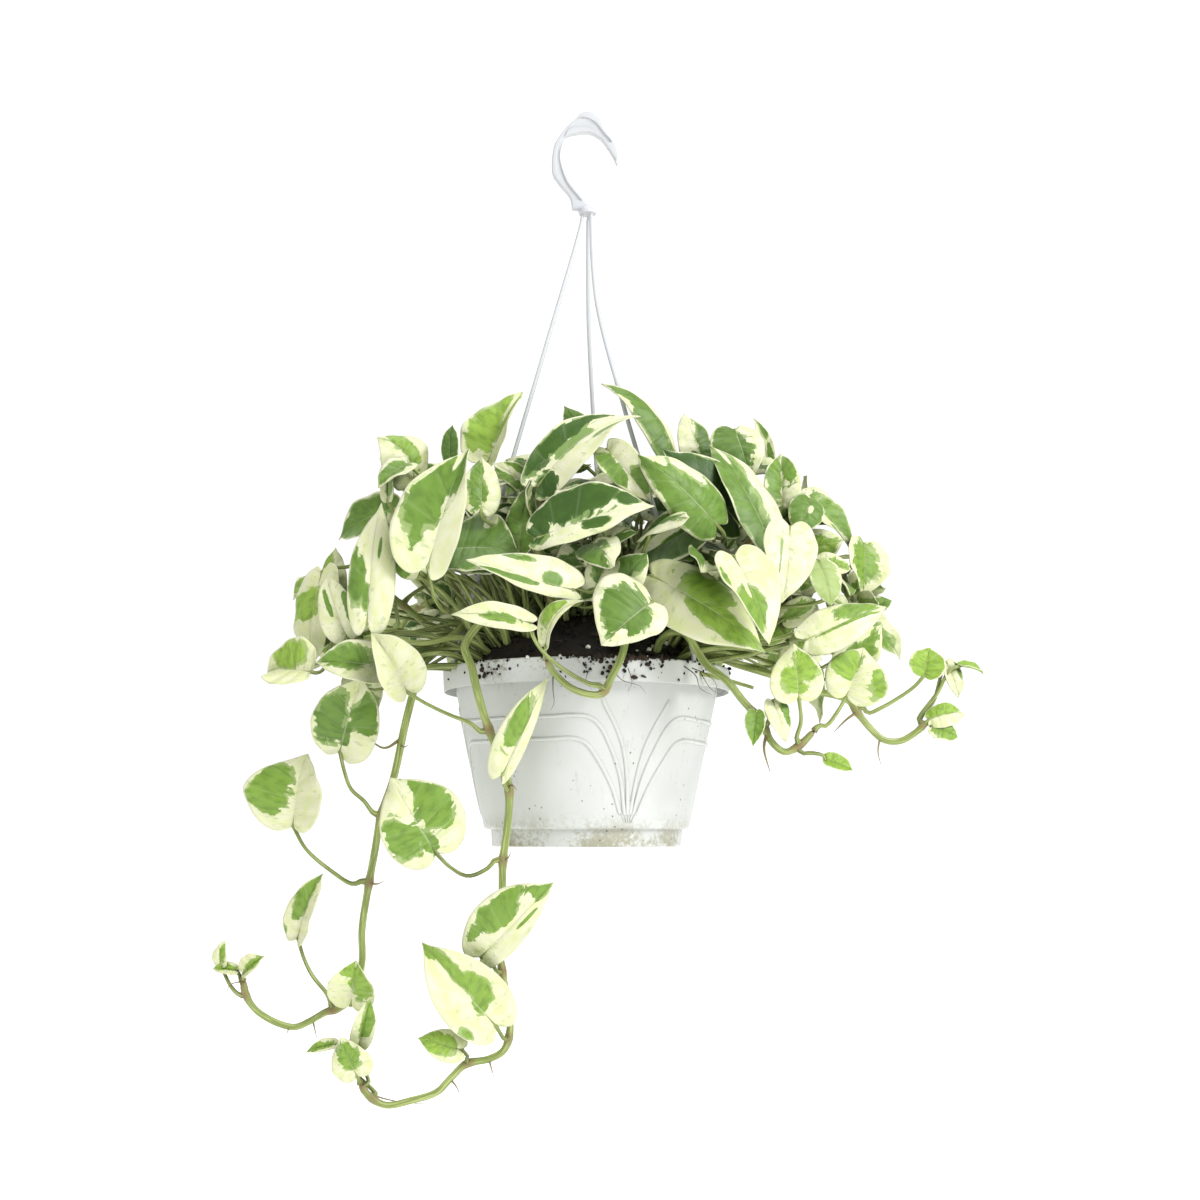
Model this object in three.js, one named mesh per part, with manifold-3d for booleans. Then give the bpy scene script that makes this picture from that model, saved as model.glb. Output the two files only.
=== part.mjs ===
// A potted variegated pothos in a white plastic hanging pot with a hook and three strands.
// Millimetres, +Z up, +X to the right and -Y towards the viewer. The origin is the hook's inner
// crown, where a rail would carry it, and the pot's axis is the Z axis.
import * as THREE from "three";
import { mergeVertices } from "three/addons/utils/BufferGeometryUtils.js";
import Module from "manifold-3d";

const wasm = await Module();
wasm.setup();

// Gap between two pieces that touch, and between round ones with unlike facets.
const GAP = 0.3;
const ROUND_GAP = 0.5;

// The pot: its rim is a rolled flange with a skirt, its wall a cone and its foot a shallow cup
// that stands on a ring.
const RIM_Z = -401;
const RIM_RADIUS = 101.5;
const SKIRT_DEPTH = 16;
const SKIRT_THICKNESS = 1.6;
const SKIRT_TAPER = 0.8;
const FLANGE_THICKNESS = 1.8;
const WALL_TOP_RADIUS = 92;
const WALL_THICKNESS = 1.5;
const WALL_FOOT_RADIUS = 71.4;
const STEP_Z = -512;
const FOOT_RADIUS = 66.8;
const FOOT_TAPER = 0.8;
const BASE_Z = -524;
const FOOT_RING = 7;
const FOOT_RECESS = 3;
const FLOOR_THICKNESS = 1.6;
const FOOT_INSIDE = FOOT_RADIUS - FOOT_TAPER - FLOOR_THICKNESS;
const FLOOR_Z = BASE_Z + FOOT_RECESS + FLOOR_THICKNESS;
const POT_SEGMENTS = 40;

// The soil: a root ball that fills the pot, with a heaped top.
const SOIL_HEAP = 38;
const SOIL_EDGE_DROP = 4;
const SOIL_SEGMENTS = 24;
const SOIL_RINGS = 4;

// The hanger: a moulded hook with a collar, and three strands to the rim.
const HOOK_THICKNESS = 6.4;
const HOOK_BEVEL = 0.8;
const COLLAR_RADIUS = 6.6;
const COLLAR_TOP_Z = -57.5;
const COLLAR_Z = -62.5;
const SOCKET_DEPTH = 3.5;
const PEG_RADIUS = 1;
const STRAND_CIRCLE = 4;
const STRAND_RADIUS = 1.6;
const STRAND_SIDES = 8;
const STRAND_INSET = 5.5;
const STRAND_HOLE_RADIUS = 2.6;
const KNOB_WIDTH = 9;
const KNOB_DEPTH = 4.4;
const KNOB_HEIGHT = 3;
const STRANDS = [
  { name: "hanger_strand_left", bearing: -71 },
  { name: "hanger_strand_right", bearing: 49 },
  { name: "hanger_strand_back", bearing: 169 },
];

// The plant: stem, petiole and blade sizes.
const STEM_RADIUS = 2.9;
const STEM_TIP_RADIUS = 2.1;
const STEM_SIDES = 6;
const STEM_STEP = 24;
const PETIOLE_RADIUS = 1.5;
const PETIOLE_TIP_RADIUS = 1.1;
const PETIOLE_GAP = 0.5;
const MIDRIB_RADIUS = 0.3;
const PETIOLE_SIDES = 4;
const PETIOLE_STEP = 20;
const BLADE_THICKNESS = 1;
const VEIN_RAKE = 1.8;

// Half of a blade's edge, from the petiole round the lobe to the tip: the share of the half width,
// and the share of the length.
const BLADE_EDGE = new THREE.SplineCurve(
  [
    [0, 0],
    [0.36, -0.09],
    [0.76, 0],
    [0.98, 0.2],
    [1, 0.4],
    [0.83, 0.62],
    [0.5, 0.81],
    [0.18, 0.94],
    [0, 1],
  ].map(([across, along]) => new THREE.Vector2(across, along)),
);
const LARGE_BLADE = { rows: [0.2, 0.44, 0.66, 0.86], columns: [-1, -0.5, 0, 0.5, 1] };
const SMALL_BLADE = { rows: [0.22, 0.48, 0.75], columns: [-1, 0, 1] };

// The plant is laid out as it is seen from in front, at the eye's distance from the pot's axis and
// at its height, through a picture 1200 wide whose middle looks up a little.
const EYE_DISTANCE = 1166;
const EYE_X = 9.4;
const EYE_Z = -516.1;
const PICTURE_MIDDLE = 600;
const PICTURE_DEPTH = 1650;
const EYE_TILT = Math.atan2(235, PICTURE_DEPTH);

// The point seen at a place in the picture, a distance in millimetres nearer than the pot's axis.
function seen([across, down, nearer]) {
  const up = PICTURE_MIDDLE - down;
  const forward = PICTURE_DEPTH * Math.cos(EYE_TILT) - up * Math.sin(EYE_TILT);
  const rise = PICTURE_DEPTH * Math.sin(EYE_TILT) + up * Math.cos(EYE_TILT);
  const scale = (EYE_DISTANCE - nearer) / forward;
  const x = (across - PICTURE_MIDDLE) * scale + EYE_X;
  return new THREE.Vector3(x, -nearer, EYE_Z + rise * scale);
}

// A point given in millimetres.
const at = (x, y, z) => new THREE.Vector3(x, y, z);

// The edge of the hook as it is seen from in front: up the outside to the tip, then back inside.
const HOOK_OUTSIDE = [
  [572, 210], [570, 199], [557.3, 183], [552.6, 175], [552, 160.7], [554.7, 145], [560, 136.4],
  [568.6, 126], [574.7, 120.8], [581.6, 113.9], [588.5, 112], [599.8, 119.5], [606.7, 132],
  [613.7, 141], [618, 150], [619.3, 160], [616.8, 166],
];
const HOOK_INSIDE = [
  [613.7, 159], [607.6, 149.4], [599.8, 139.5], [588.5, 134], [576, 134.7], [565, 138],
  [561.7, 147], [560.8, 160.7], [563.4, 168.5], [569.5, 180.6], [576, 190], [585, 201], [592, 211],
];

// The stems, each rooted in the soil: its points in order. A row of three picture values is a
// place as seen from in front; at() is a place in millimetres.
const VINES = {
  vine_left_trail: [
    at(-50, -22, -412), at(-56, -24, -385), at(-72, -30, -366), [436, 652, 46], [420, 668, 52],
    [412, 697, 54], [405, 725, 54], [393, 780, 54], [381, 815, 54], [375, 850, 54], [369, 883, 54],
    [362, 930, 54], [362, 962, 54], [355, 990, 52], [340, 1008, 50], [326, 1012, 50],
    [310, 1021, 50], [295, 1027, 50], [275, 1022, 50], [255, 1009, 50], [246, 995, 50],
    [243, 980, 50],
  ],
  vine_front_trail: [
    at(-52, -42, -410), at(-54, -46, -386), at(-62, -58, -369), [465, 645, 82], [472, 668, 91],
    [477, 690, 94], [483, 712, 93], [491, 735, 90], [503, 765, 86], [509, 790, 85], [507, 830, 84],
    [503, 860, 84], [502, 900, 84], [499, 940, 84], [502, 970, 84], [508, 1005, 84],
    [510, 1030, 84], [504, 1050, 84], [489, 1059, 84], [466, 1064, 84], [450, 1079, 84],
    [437, 1092, 84], [413, 1100, 84], [385, 1105, 84], [368, 1095, 84], [360, 1083, 84],
  ],
  vine_front_loop: [
    at(14, -56, -404), at(15, -60, -378), [624, 636, 86], [622, 655, 105], [612, 676, 113],
    [601, 694, 116], [575, 690, 117], [555, 674, 118], [546, 660, 119],
  ],
  vine_right_low: [
    at(46, -58, -410), at(50, -63, -387), at(64, -76, -382), [706, 664, 86], [728, 682, 96],
    [744, 702, 96],
    [762, 722, 96], [771, 741, 96], [785, 752, 96], [800, 745, 96], [814, 731, 96],
  ],
  vine_right_runner: [
    at(66, -26, -412), at(71, -28, -388), [736, 664, 40], [775, 676, 58], [812, 690, 64],
    [848, 700, 66], [857, 712, 66], [870, 728, 66], [884, 740, 66], [900, 741, 66], [915, 733, 66],
    [927, 722, 66],
  ],
  vine_left_high: [
    at(-44, 0, -400), at(-48, -2, -374), [480, 628, 14], [452, 585, 22], [432, 545, 34],
    [418, 505, 36],
  ],
  vine_left_mid: [
    at(-58, 14, -410), at(-62, 14, -380), [440, 632, 4], [404, 606, 22], [380, 588, 36],
    [356, 560, 44],
  ],
  vine_left_low: [
    at(-70, -8, -412), at(-75, -7, -388), at(-92, -13, -377), [430, 655, 40], [404, 654, 52],
    [380, 650, 56],
    [350, 640, 54], [330, 640, 50],
  ],
  vine_centre_left: [
    at(-22, -34, -392), at(-24, -36, -364), [552, 600, 52], [540, 560, 62], [534, 520, 60],
    [545, 490, 48],
  ],
  vine_centre_right: [
    at(22, -20, -392), at(25, -22, -364), [630, 600, 34], [647, 560, 36], [668, 520, 32],
    [690, 480, 22],
  ],
  vine_right_high: [
    at(56, -28, -404), at(62, -30, -378), [705, 625, 46], [722, 590, 58], [742, 550, 66],
    [768, 525, 56],
  ],
  vine_right_mid: [
    at(66, -6, -410), at(71, -6, -384), [740, 636, 20], [776, 610, 36], [812, 590, 44],
    [846, 572, 38],
  ],
  vine_back_left: [
    at(-40, 40, -408), at(-46, 46, -382), at(-76, 74, -352), at(-108, 98, -334),
    at(-138, 108, -346), at(-150, 104, -372),
  ],
  vine_back: [
    at(-6, 44, -402), at(-6, 50, -376), at(-10, 84, -336), at(-14, 120, -314), at(-10, 152, -332),
    at(-4, 162, -364), at(-2, 160, -400),
  ],
  vine_back_right: [
    at(42, 34, -406), at(48, 40, -380), at(78, 66, -348), at(108, 90, -330), at(138, 100, -342),
    at(152, 96, -370),
  ],
};

// The leaves. on is the stem that carries the leaf, joint the place on it where the petiole leaves
// and via the petiole's way; base and tip are the blade's ends. width is the blade's, in
// millimetres. yaw and pitch turn the face from the viewer to the right and upwards, in degrees.
// arch lifts the middle, fold raises both halves, in degrees, and bow bends the blade sideways.
// A leaf with own is a piece by itself, and the others belong to their stem's piece.
const LEAVES = [
  // The long vine at the left.
  { name: "leaf_left_trail_1", own: true, on: "vine_left_trail", joint: [381, 815, 54],
    via: [[364, 801, 55], [351, 789, 55], [344, 770, 53]], base: [340, 752, 50],
    tip: [362, 676, 62], width: 50, yaw: -5, pitch: 12, arch: 0.05, fold: 14 },
  { name: "leaf_left_trail_2", own: true, on: "vine_left_trail", joint: [369, 883, 54],
    via: [[353, 884, 54], [330, 870, 52], [306, 849, 50]], base: [293, 826, 46],
    tip: [306, 753, 40], width: 47, yaw: -22, pitch: 10, arch: 0.05, fold: 18 },
  { name: "leaf_left_trail_3", own: true, on: "vine_left_trail", joint: [334, 1010, 50],
    via: [[327, 994, 50], [312, 975, 50], [303, 956, 51]], base: [298, 938, 52],
    tip: [321, 873, 58], width: 32, yaw: -35, pitch: 5, arch: 0.05, fold: 22 },
  { name: "leaf_left_trail_4", own: true, on: "vine_left_trail", joint: [349, 1000, 51],
    base: [351, 1005, 60], tip: [356, 961, 70], width: 29, yaw: -6, pitch: 8, arch: 0.06, fold: 16 },
  { on: "vine_left_trail", joint: [246, 995, 50], base: [222, 966, 48], tip: [224, 940, 44],
    width: 11, yaw: -20, pitch: 10, fold: 30, bow: -0.1 },
  { on: "vine_left_trail", joint: [243, 981, 50], base: [244, 973, 52], tip: [264, 956, 54],
    width: 14, yaw: 20, pitch: 45, fold: 30 },
  { on: "vine_left_trail", joint: [243, 982, 50], base: [237, 971, 49], tip: [212, 968, 48],
    width: 10, yaw: -10, pitch: 40, fold: 25 },
  // The long vine in front.
  { name: "leaf_front_trail_1", own: true, on: "vine_front_trail", joint: [509, 789, 85],
    base: [503, 774, 98], tip: [548, 677, 112], width: 30, yaw: 4, pitch: 4, arch: 0.07, fold: 16 },
  { name: "leaf_front_trail_2", own: true, on: "vine_front_trail", joint: [503, 862, 84],
    via: [[488, 868, 85], [468, 876, 86], [450, 867, 86]], base: [436, 853, 86],
    tip: [390, 778, 90], width: 52, yaw: -4, pitch: 6, arch: 0.05, fold: 10 },
  { name: "leaf_front_trail_3", own: true, on: "vine_front_trail", joint: [502, 972, 84],
    via: [[493, 966, 91]], base: [481, 957, 95], tip: [553, 883, 104], width: 37, yaw: 5,
    pitch: 5, arch: 0.06, fold: 14 },
  { name: "leaf_front_trail_4", own: true, on: "vine_front_trail", joint: [508, 1040, 84],
    via: [[505, 1040, 90]], base: [499, 1034, 94], tip: [422, 943, 104], width: 50, yaw: -3,
    pitch: 6, arch: 0.06, fold: 12 },
  { name: "leaf_front_trail_5", own: true, on: "vine_front_trail", joint: [360, 1084, 84],
    base: [357, 1076, 90], tip: [340, 1038, 94], width: 26, yaw: -10, pitch: 5, arch: 0.06,
    fold: 16 },
  { on: "vine_front_trail", joint: [470, 1063, 84], via: [[468, 1057, 90]], base: [462, 1050, 93],
    tip: [418, 1038, 96], width: 15, yaw: 0, pitch: 10, arch: 0.08, fold: 14 },
  { on: "vine_front_trail", joint: [361, 1086, 84], via: [[362, 1066, 81]], base: [358, 1046, 80],
    tip: [370, 997, 82], width: 15, yaw: 20, pitch: 5, fold: 24 },
  { on: "vine_front_trail", joint: [372, 1098, 84], via: [[350, 1068, 76]], base: [336, 1044, 74],
    tip: [305, 1052, 70], width: 9, yaw: 0, pitch: 40, fold: 20 },
  { name: "leaf_left_5", own: true, on: "vine_front_trail", joint: [488, 728, 91],
    via: [[470, 723, 93], [450, 715, 91], [425, 703, 88]], base: [407, 692, 88],
    tip: [372, 632, 96], width: 34, yaw: 20, pitch: 15, arch: 0.05, fold: 26 },
  // The mound at the left.
  { name: "leaf_left_1", own: true, on: "vine_left_low", joint: [334, 640, 51],
    base: [311, 672, 80], tip: [266, 671, 60], width: 38, yaw: -25, pitch: 30, arch: 0.08,
    fold: 24 },
  { name: "leaf_left_2", own: true, on: "vine_left_low", joint: [405, 655, 52],
    base: [390, 668, 84], tip: [314, 661, 84], width: 30, yaw: -6, pitch: 20, arch: 0.06, fold: 12 },
  { name: "leaf_left_3", own: true, on: "vine_left_mid", joint: [360, 563, 45],
    base: [322, 572, 42], tip: [310, 664, 54], width: 38, yaw: -35, pitch: 15, arch: 0.07, fold: 14 },
  { on: "vine_left_mid", joint: [378, 583, 46], base: [332, 612, 34], tip: [334, 546, 22],
    width: 24, yaw: -20, pitch: 20, fold: 12 },
  { on: "vine_left_low", joint: [352, 640, 55], base: [346, 636, 80], tip: [326, 574, 76],
    width: 27, yaw: -20, pitch: 8, fold: 16 },
  { name: "leaf_left_4", own: true, on: "vine_left_mid", joint: [402, 605, 42],
    via: [[396, 628, 70], [380, 630, 86]], base: [367, 624, 92], tip: [380, 501, 84], width: 31,
    yaw: -6, pitch: 6, arch: 0.06, fold: 16 },
  { name: "leaf_left_6", own: true, on: "vine_left_high", joint: [421, 515, 42],
    base: [397, 508, 34], tip: [337, 538, 22], width: 32, yaw: -20, pitch: 35, arch: 0.08, fold: 8 },
  { name: "leaf_left_7", own: true, on: "vine_left_high", joint: [414, 494, 38],
    base: [414, 476, 46], tip: [378, 436, 52], width: 38, yaw: 12, pitch: 20, arch: 0.12, fold: 10,
    bow: 0.12 },
  { on: "vine_left_high", joint: [425, 530, 46], base: [388, 500, 58], tip: [391, 468, 52],
    width: 11, yaw: -30, pitch: 5, fold: 24 },
  { name: "leaf_left_8", own: true, on: "vine_left_high", joint: [434, 555, 47],
    base: [420, 570, 72], tip: [388, 511, 68], width: 26, yaw: 12, pitch: 8, arch: 0.06, fold: 14 },
  { name: "leaf_left_9", own: true, on: "vine_left_high", joint: [452, 595, 38],
    via: [[446, 612, 66], [434, 596, 90]], base: [428, 567, 100], tip: [468, 447, 108], width: 50,
    yaw: -8, pitch: 12, arch: 0.05, fold: 8 },
  { name: "leaf_left_10", own: true, on: "vine_left_high", joint: [422, 516, 36],
    via: [[452, 480, 34], [474, 476, 32]], base: [488, 462, 34], tip: [522, 390, 28], width: 48,
    yaw: -25, pitch: 5, arch: 0.05, fold: 16 },
  { on: "vine_left_high", joint: [428, 534, 35], base: [450, 460, 56], tip: [452, 424, 50],
    width: 13, yaw: -20, pitch: 10, fold: 10 },
  // The middle of the mound.
  { on: "vine_centre_left", joint: [535, 530, 61], base: [481, 510, 82], tip: [482, 456, 76],
    width: 26, yaw: 12, pitch: 10, fold: 12 },
  { on: "vine_centre_left", joint: [537, 545, 62], base: [519, 548, 74], tip: [528, 484, 66],
    width: 22, yaw: 0, pitch: 10, fold: 12 },
  { on: "vine_centre_left", joint: [540, 560, 62], base: [452, 549, 78], tip: [520, 552, 86],
    width: 44, yaw: -10, pitch: 40, fold: 6 },
  { on: "vine_centre_left", joint: [538, 500, 53], base: [530, 488, 62], tip: [492, 462, 62],
    width: 17, yaw: 0, pitch: 20, fold: 14 },
  { on: "vine_centre_left", joint: [544, 491, 49], base: [536, 464, 40], tip: [505, 459, 36],
    width: 16, yaw: 0, pitch: 40, fold: 10 },
  { name: "leaf_centre_1", own: true, on: "vine_centre_left", joint: [540, 497, 51],
    base: [538, 486, 78], tip: [640, 412, 60], width: 38, yaw: -8, pitch: 30, arch: 0.1, fold: 6,
    bow: -0.04 },
  { on: "vine_centre_left", joint: [545, 490, 48], base: [588, 444, 30], tip: [564, 405, 26],
    width: 19, yaw: 0, pitch: 15, fold: 10 },
  { name: "leaf_centre_2", own: true, on: "vine_centre_left", joint: [536, 535, 61],
    via: [[550, 540, 84]], base: [538, 538, 108], tip: [654, 503, 120], width: 40, yaw: -4,
    pitch: 26, arch: 0.07, fold: 6 },
  { name: "leaf_centre_3", own: true, on: "vine_centre_right", joint: [686, 490, 31],
    via: [[640, 480, 60], [610, 470, 72]], base: [607, 449, 82], tip: [652, 502, 100], width: 26,
    yaw: -12, pitch: 14, arch: 0.05, fold: 10 },
  { name: "leaf_centre_4", own: true, on: "vine_centre_right", joint: [678, 515, 42],
    via: [[718, 538, 58], [724, 534, 82]], base: [716, 524, 92], tip: [640, 453, 108], width: 38, yaw: 4,
    pitch: 18, arch: 0.06, fold: 6 },
  { name: "leaf_centre_5", own: true, on: "vine_centre_right", joint: [684, 500, 36],
    via: [[712, 520, 46], [732, 534, 56]], base: [738, 524, 64], tip: [664, 447, 76], width: 42,
    yaw: 6, pitch: 22, arch: 0.07, fold: 8 },
  { name: "leaf_centre_6", own: true, on: "vine_centre_right", joint: [690, 481, 27],
    base: [674, 452, 38], tip: [602, 381, 34], width: 32, yaw: 8, pitch: 24, arch: 0.1, fold: 14,
    bow: 0.1 },
  { name: "leaf_centre_7", own: true, on: "vine_centre_right", joint: [696, 470, 20],
    base: [700, 464, 24], tip: [668, 390, 18], width: 26, yaw: 15, pitch: 20, arch: 0.08, fold: 10 },
  { on: "vine_centre_right", joint: [664, 545, 49], base: [700, 524, 62], tip: [628, 570, 74],
    width: 32, yaw: 10, pitch: 22, fold: 8 },
  { on: "vine_centre_left", joint: [545, 575, 59], base: [597, 586, 92], tip: [613, 547, 96],
    width: 20, yaw: 0, pitch: 12, fold: 14 },
  // The front edge of the mound.
  { name: "leaf_front_1", own: true, on: "vine_centre_left", joint: [550, 595, 54],
    base: [573, 590, 124], tip: [467, 557, 138], width: 26, yaw: -4, pitch: 24, arch: 0.06,
    fold: 10, bow: -0.05 },
  { name: "leaf_front_2", own: true, on: "vine_front_loop", joint: [603, 691, 115],
    via: [[590, 684, 122], [566, 671, 125], [544, 653, 127], [534, 638, 131]],
    base: [530, 623, 134], tip: [451, 613, 144],
    width: 19, yaw: -4, pitch: 22, arch: 0.08, fold: 12 },
  { name: "leaf_front_3", own: true, on: "vine_front_loop", joint: [540, 652, 120],
    base: [546, 646, 120], tip: [582, 600, 138], width: 17, yaw: -14, pitch: 18, arch: 0.08,
    fold: 12, bow: -0.16 },
  { name: "leaf_front_4", own: true, on: "vine_centre_right", joint: [634, 612, 45],
    via: [[648, 616, 84], [658, 613, 118]], base: [652, 602, 132], tip: [602, 644, 148],
    width: 40, yaw: 4, pitch: 16, arch: 0.05, fold: 8 },
  { name: "leaf_front_5", own: true, on: "vine_right_high", joint: [700, 612, 61],
    base: [652, 576, 98], tip: [766, 649, 124], width: 44, yaw: -4, pitch: 24, arch: 0.07,
    fold: 8 },
  { name: "leaf_front_6", own: true, on: "vine_right_high", joint: [724, 578, 66],
    base: [734, 557, 122], tip: [771, 642, 150], width: 38, yaw: 16, pitch: 24, arch: 0.07,
    fold: 10 },
  // The mound at the right.
  { name: "leaf_right_1", own: true, on: "vine_right_high", joint: [746, 546, 66],
    via: [[734, 510, 30], [727, 450, 28]], base: [735, 430, 42], tip: [751, 481, 58], width: 33,
    yaw: 4, pitch: 10, arch: 0.05, fold: 8 },
  { name: "leaf_right_2", own: true, on: "vine_right_high", joint: [752, 540, 63],
    base: [770, 541, 78], tip: [711, 441, 64], width: 32, yaw: 20, pitch: 16, arch: 0.06,
    fold: 10 },
  { on: "vine_right_high", joint: [768, 525, 56], base: [768, 466, 22], tip: [754, 416, 14],
    width: 11, yaw: 20, pitch: 10, fold: 24 },
  { on: "vine_right_high", joint: [767, 526, 57], base: [782, 505, 58], tip: [781, 452, 48],
    width: 25, yaw: 0, pitch: 10, fold: 34 },
  { on: "vine_right_mid", joint: [812, 590, 44], base: [810, 500, 64], tip: [798, 535, 78],
    width: 24, yaw: 20, pitch: 35, fold: 12 },
  { on: "vine_right_mid", joint: [830, 580, 42], base: [806, 498, 36], tip: [857, 557, 40],
    width: 28, yaw: 25, pitch: 40, fold: 12 },
  { name: "leaf_right_3", own: true, on: "vine_right_high", joint: [730, 570, 66],
    via: [[764, 552, 84], [784, 532, 92]], base: [790, 527, 98], tip: [783, 602, 112],
    width: 44, yaw: 12, pitch: 14, arch: 0.06, fold: 8 },
  { on: "vine_right_mid", joint: [790, 602, 40], base: [819, 562, 84], tip: [832, 606, 92],
    width: 25, yaw: 20, pitch: 20, fold: 12 },
  { on: "vine_right_mid", joint: [846, 572, 38], base: [864, 544, 36], tip: [862, 598, 46],
    width: 33, yaw: 30, pitch: 14, fold: 12 },
  { name: "leaf_right_4", own: true, on: "vine_right_mid", joint: [776, 610, 36],
    via: [[788, 636, 70]], base: [806, 640, 100], tip: [887, 605, 92], width: 30, yaw: 12,
    pitch: 22, arch: 0.06, fold: 12 },
  { on: "vine_right_mid", joint: [838, 576, 40], base: [864, 620, 50], tip: [902, 659, 48],
    width: 22, yaw: 35, pitch: 12, fold: 12 },
  { on: "vine_right_mid", joint: [845, 573, 39], base: [869, 610, 30], tip: [892, 600, 24],
    width: 14, yaw: 30, pitch: 35, fold: 14 },
  { name: "leaf_right_5", own: true, on: "vine_right_low", joint: [800, 745, 96],
    via: [[801, 722, 102]], base: [799, 698, 108], tip: [794, 644, 114], width: 34, yaw: -4,
    pitch: 8, arch: 0.05, fold: 10 },
  { name: "leaf_right_6", own: true, on: "vine_right_low", joint: [820, 728, 96],
    via: [[826, 726, 96], [838, 711, 95]], base: [846, 697, 92], tip: [864, 647, 92], width: 38,
    yaw: 8, pitch: 8, arch: 0.05, fold: 26 },
  { on: "vine_right_low", joint: [755, 714, 96], base: [756, 712, 106], tip: [753, 746, 110],
    width: 13, yaw: 0, pitch: 10, fold: 10 },
  { on: "vine_right_low", joint: [764, 726, 96], base: [773, 701, 104], tip: [787, 742, 108],
    width: 16, yaw: 10, pitch: 10, fold: 12 },
  { on: "vine_right_low", joint: [797, 747, 96], via: [[812, 753, 98], [824, 756, 98]],
    base: [832, 757, 98], tip: [862, 771, 94], width: 9, yaw: 10, pitch: 30, fold: 16 },
  { name: "leaf_right_7", own: true, on: "vine_right_runner", joint: [857, 712, 66],
    via: [[868, 713, 67], [881, 708, 68], [900, 697, 68], [915, 686, 68]], base: [924, 676, 68],
    tip: [930, 647, 62], width: 20, yaw: 0, pitch: 5, fold: 24 },
  { on: "vine_right_runner", joint: [925, 725, 66], via: [[934, 700, 60], [941, 675, 56]],
    base: [946, 662, 54], tip: [959, 698, 58], width: 14, yaw: 20, pitch: 20, fold: 14 },
  { on: "vine_right_runner", joint: [926, 724, 66], base: [930, 719, 68], tip: [966, 714, 62],
    width: 17, yaw: 0, pitch: 25, arch: 0.18, fold: 12 },
  { on: "vine_right_runner", joint: [926, 723, 66], base: [932, 727, 70], tip: [950, 745, 74],
    width: 16, yaw: 20, pitch: 25, fold: 14 },
  // The heart of the mound, given in millimetres.
  { on: "vine_left_mid", joint: [404, 606, 22], base: at(-98, 8, -318), tip: at(-140, 20, -304),
    width: 40, yaw: -60, pitch: 50, arch: 0.08, fold: 8 },
  { on: "vine_centre_left", joint: [545, 580, 58], base: at(-38, -12, -292),
    tip: at(-66, -4, -252), width: 40, yaw: -20, pitch: 35, arch: 0.08, fold: 8 },
  { on: "vine_centre_right", joint: [640, 575, 36], base: at(30, 0, -284), tip: at(14, 4, -238),
    width: 40, yaw: 10, pitch: 35, arch: 0.08, fold: 8 },
  { on: "vine_right_mid", joint: [776, 610, 36], base: at(88, 8, -316), tip: at(130, 14, -296),
    width: 42, yaw: 50, pitch: 50, arch: 0.08, fold: 8 },
  { on: "vine_back_left", joint: at(-50, 50, -376), base: at(-46, 28, -312),
    tip: at(-88, 26, -274), width: 44, yaw: -50, pitch: 45, arch: 0.08, fold: 8 },
  { on: "vine_back", joint: at(-8, 66, -356), base: at(-14, 34, -300), tip: at(8, 34, -252),
    width: 42, yaw: -10, pitch: 45, arch: 0.08, fold: 8 },
  { on: "vine_back_right", joint: at(50, 42, -378), base: at(54, 26, -312), tip: at(88, 20, -270),
    width: 44, yaw: 40, pitch: 45, arch: 0.08, fold: 8 },
  // The back of the mound, given in millimetres.
  { on: "vine_back_left", joint: at(-76, 74, -352), base: at(-70, 60, -300), tip: at(-112, 74, -262),
    width: 44, yaw: -140, pitch: 35, arch: 0.06, fold: 10 },
  { on: "vine_back_left", joint: at(-100, 92, -336), base: at(-116, 90, -300),
    tip: at(-160, 112, -290), width: 42, yaw: -130, pitch: 40, arch: 0.08, fold: 10 },
  { on: "vine_back_left", joint: at(-130, 106, -342), base: at(-142, 124, -340),
    tip: at(-152, 142, -400), width: 44, yaw: -140, pitch: 15, arch: 0.06, fold: 10 },
  { on: "vine_back_left", joint: at(-150, 104, -372), base: at(-160, 96, -384),
    tip: at(-176, 92, -436), width: 36, yaw: -110, pitch: 10, arch: 0.06, fold: 12 },
  { on: "vine_back_left", joint: at(-60, 60, -366), base: at(-84, 112, -356),
    tip: at(-96, 140, -404), width: 46, yaw: -155, pitch: 20, arch: 0.06, fold: 10 },
  { on: "vine_back", joint: at(-8, 70, -350), base: at(-30, 66, -282), tip: at(-22, 90, -232),
    width: 42, yaw: -175, pitch: 30, arch: 0.06, fold: 10 },
  { on: "vine_back", joint: at(-12, 100, -325), base: at(-30, 116, -282), tip: at(-52, 150, -308),
    width: 48, yaw: -165, pitch: 40, arch: 0.08, fold: 8 },
  { on: "vine_back", joint: at(-14, 120, -314), base: at(14, 124, -284), tip: at(44, 154, -306),
    width: 46, yaw: 165, pitch: 40, arch: 0.08, fold: 8 },
  { on: "vine_back", joint: at(-8, 156, -345), base: at(-20, 172, -350), tip: at(-30, 178, -410),
    width: 44, yaw: -172, pitch: 10, arch: 0.06, fold: 12 },
  { on: "vine_back", joint: at(-3, 162, -380), base: at(12, 174, -388), tip: at(22, 176, -448),
    width: 40, yaw: 170, pitch: 8, arch: 0.06, fold: 12 },
  { on: "vine_back_right", joint: at(66, 56, -358), base: at(64, 64, -296), tip: at(92, 80, -250),
    width: 42, yaw: 150, pitch: 30, arch: 0.06, fold: 10 },
  { on: "vine_back_right", joint: at(95, 80, -335), base: at(112, 88, -296), tip: at(158, 104, -300),
    width: 46, yaw: 135, pitch: 40, arch: 0.08, fold: 10 },
  { on: "vine_back_right", joint: at(125, 96, -335), base: at(140, 116, -338),
    tip: at(150, 136, -396), width: 44, yaw: 140, pitch: 15, arch: 0.06, fold: 10 },
  { on: "vine_back_right", joint: at(152, 96, -370), base: at(164, 88, -382),
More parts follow.
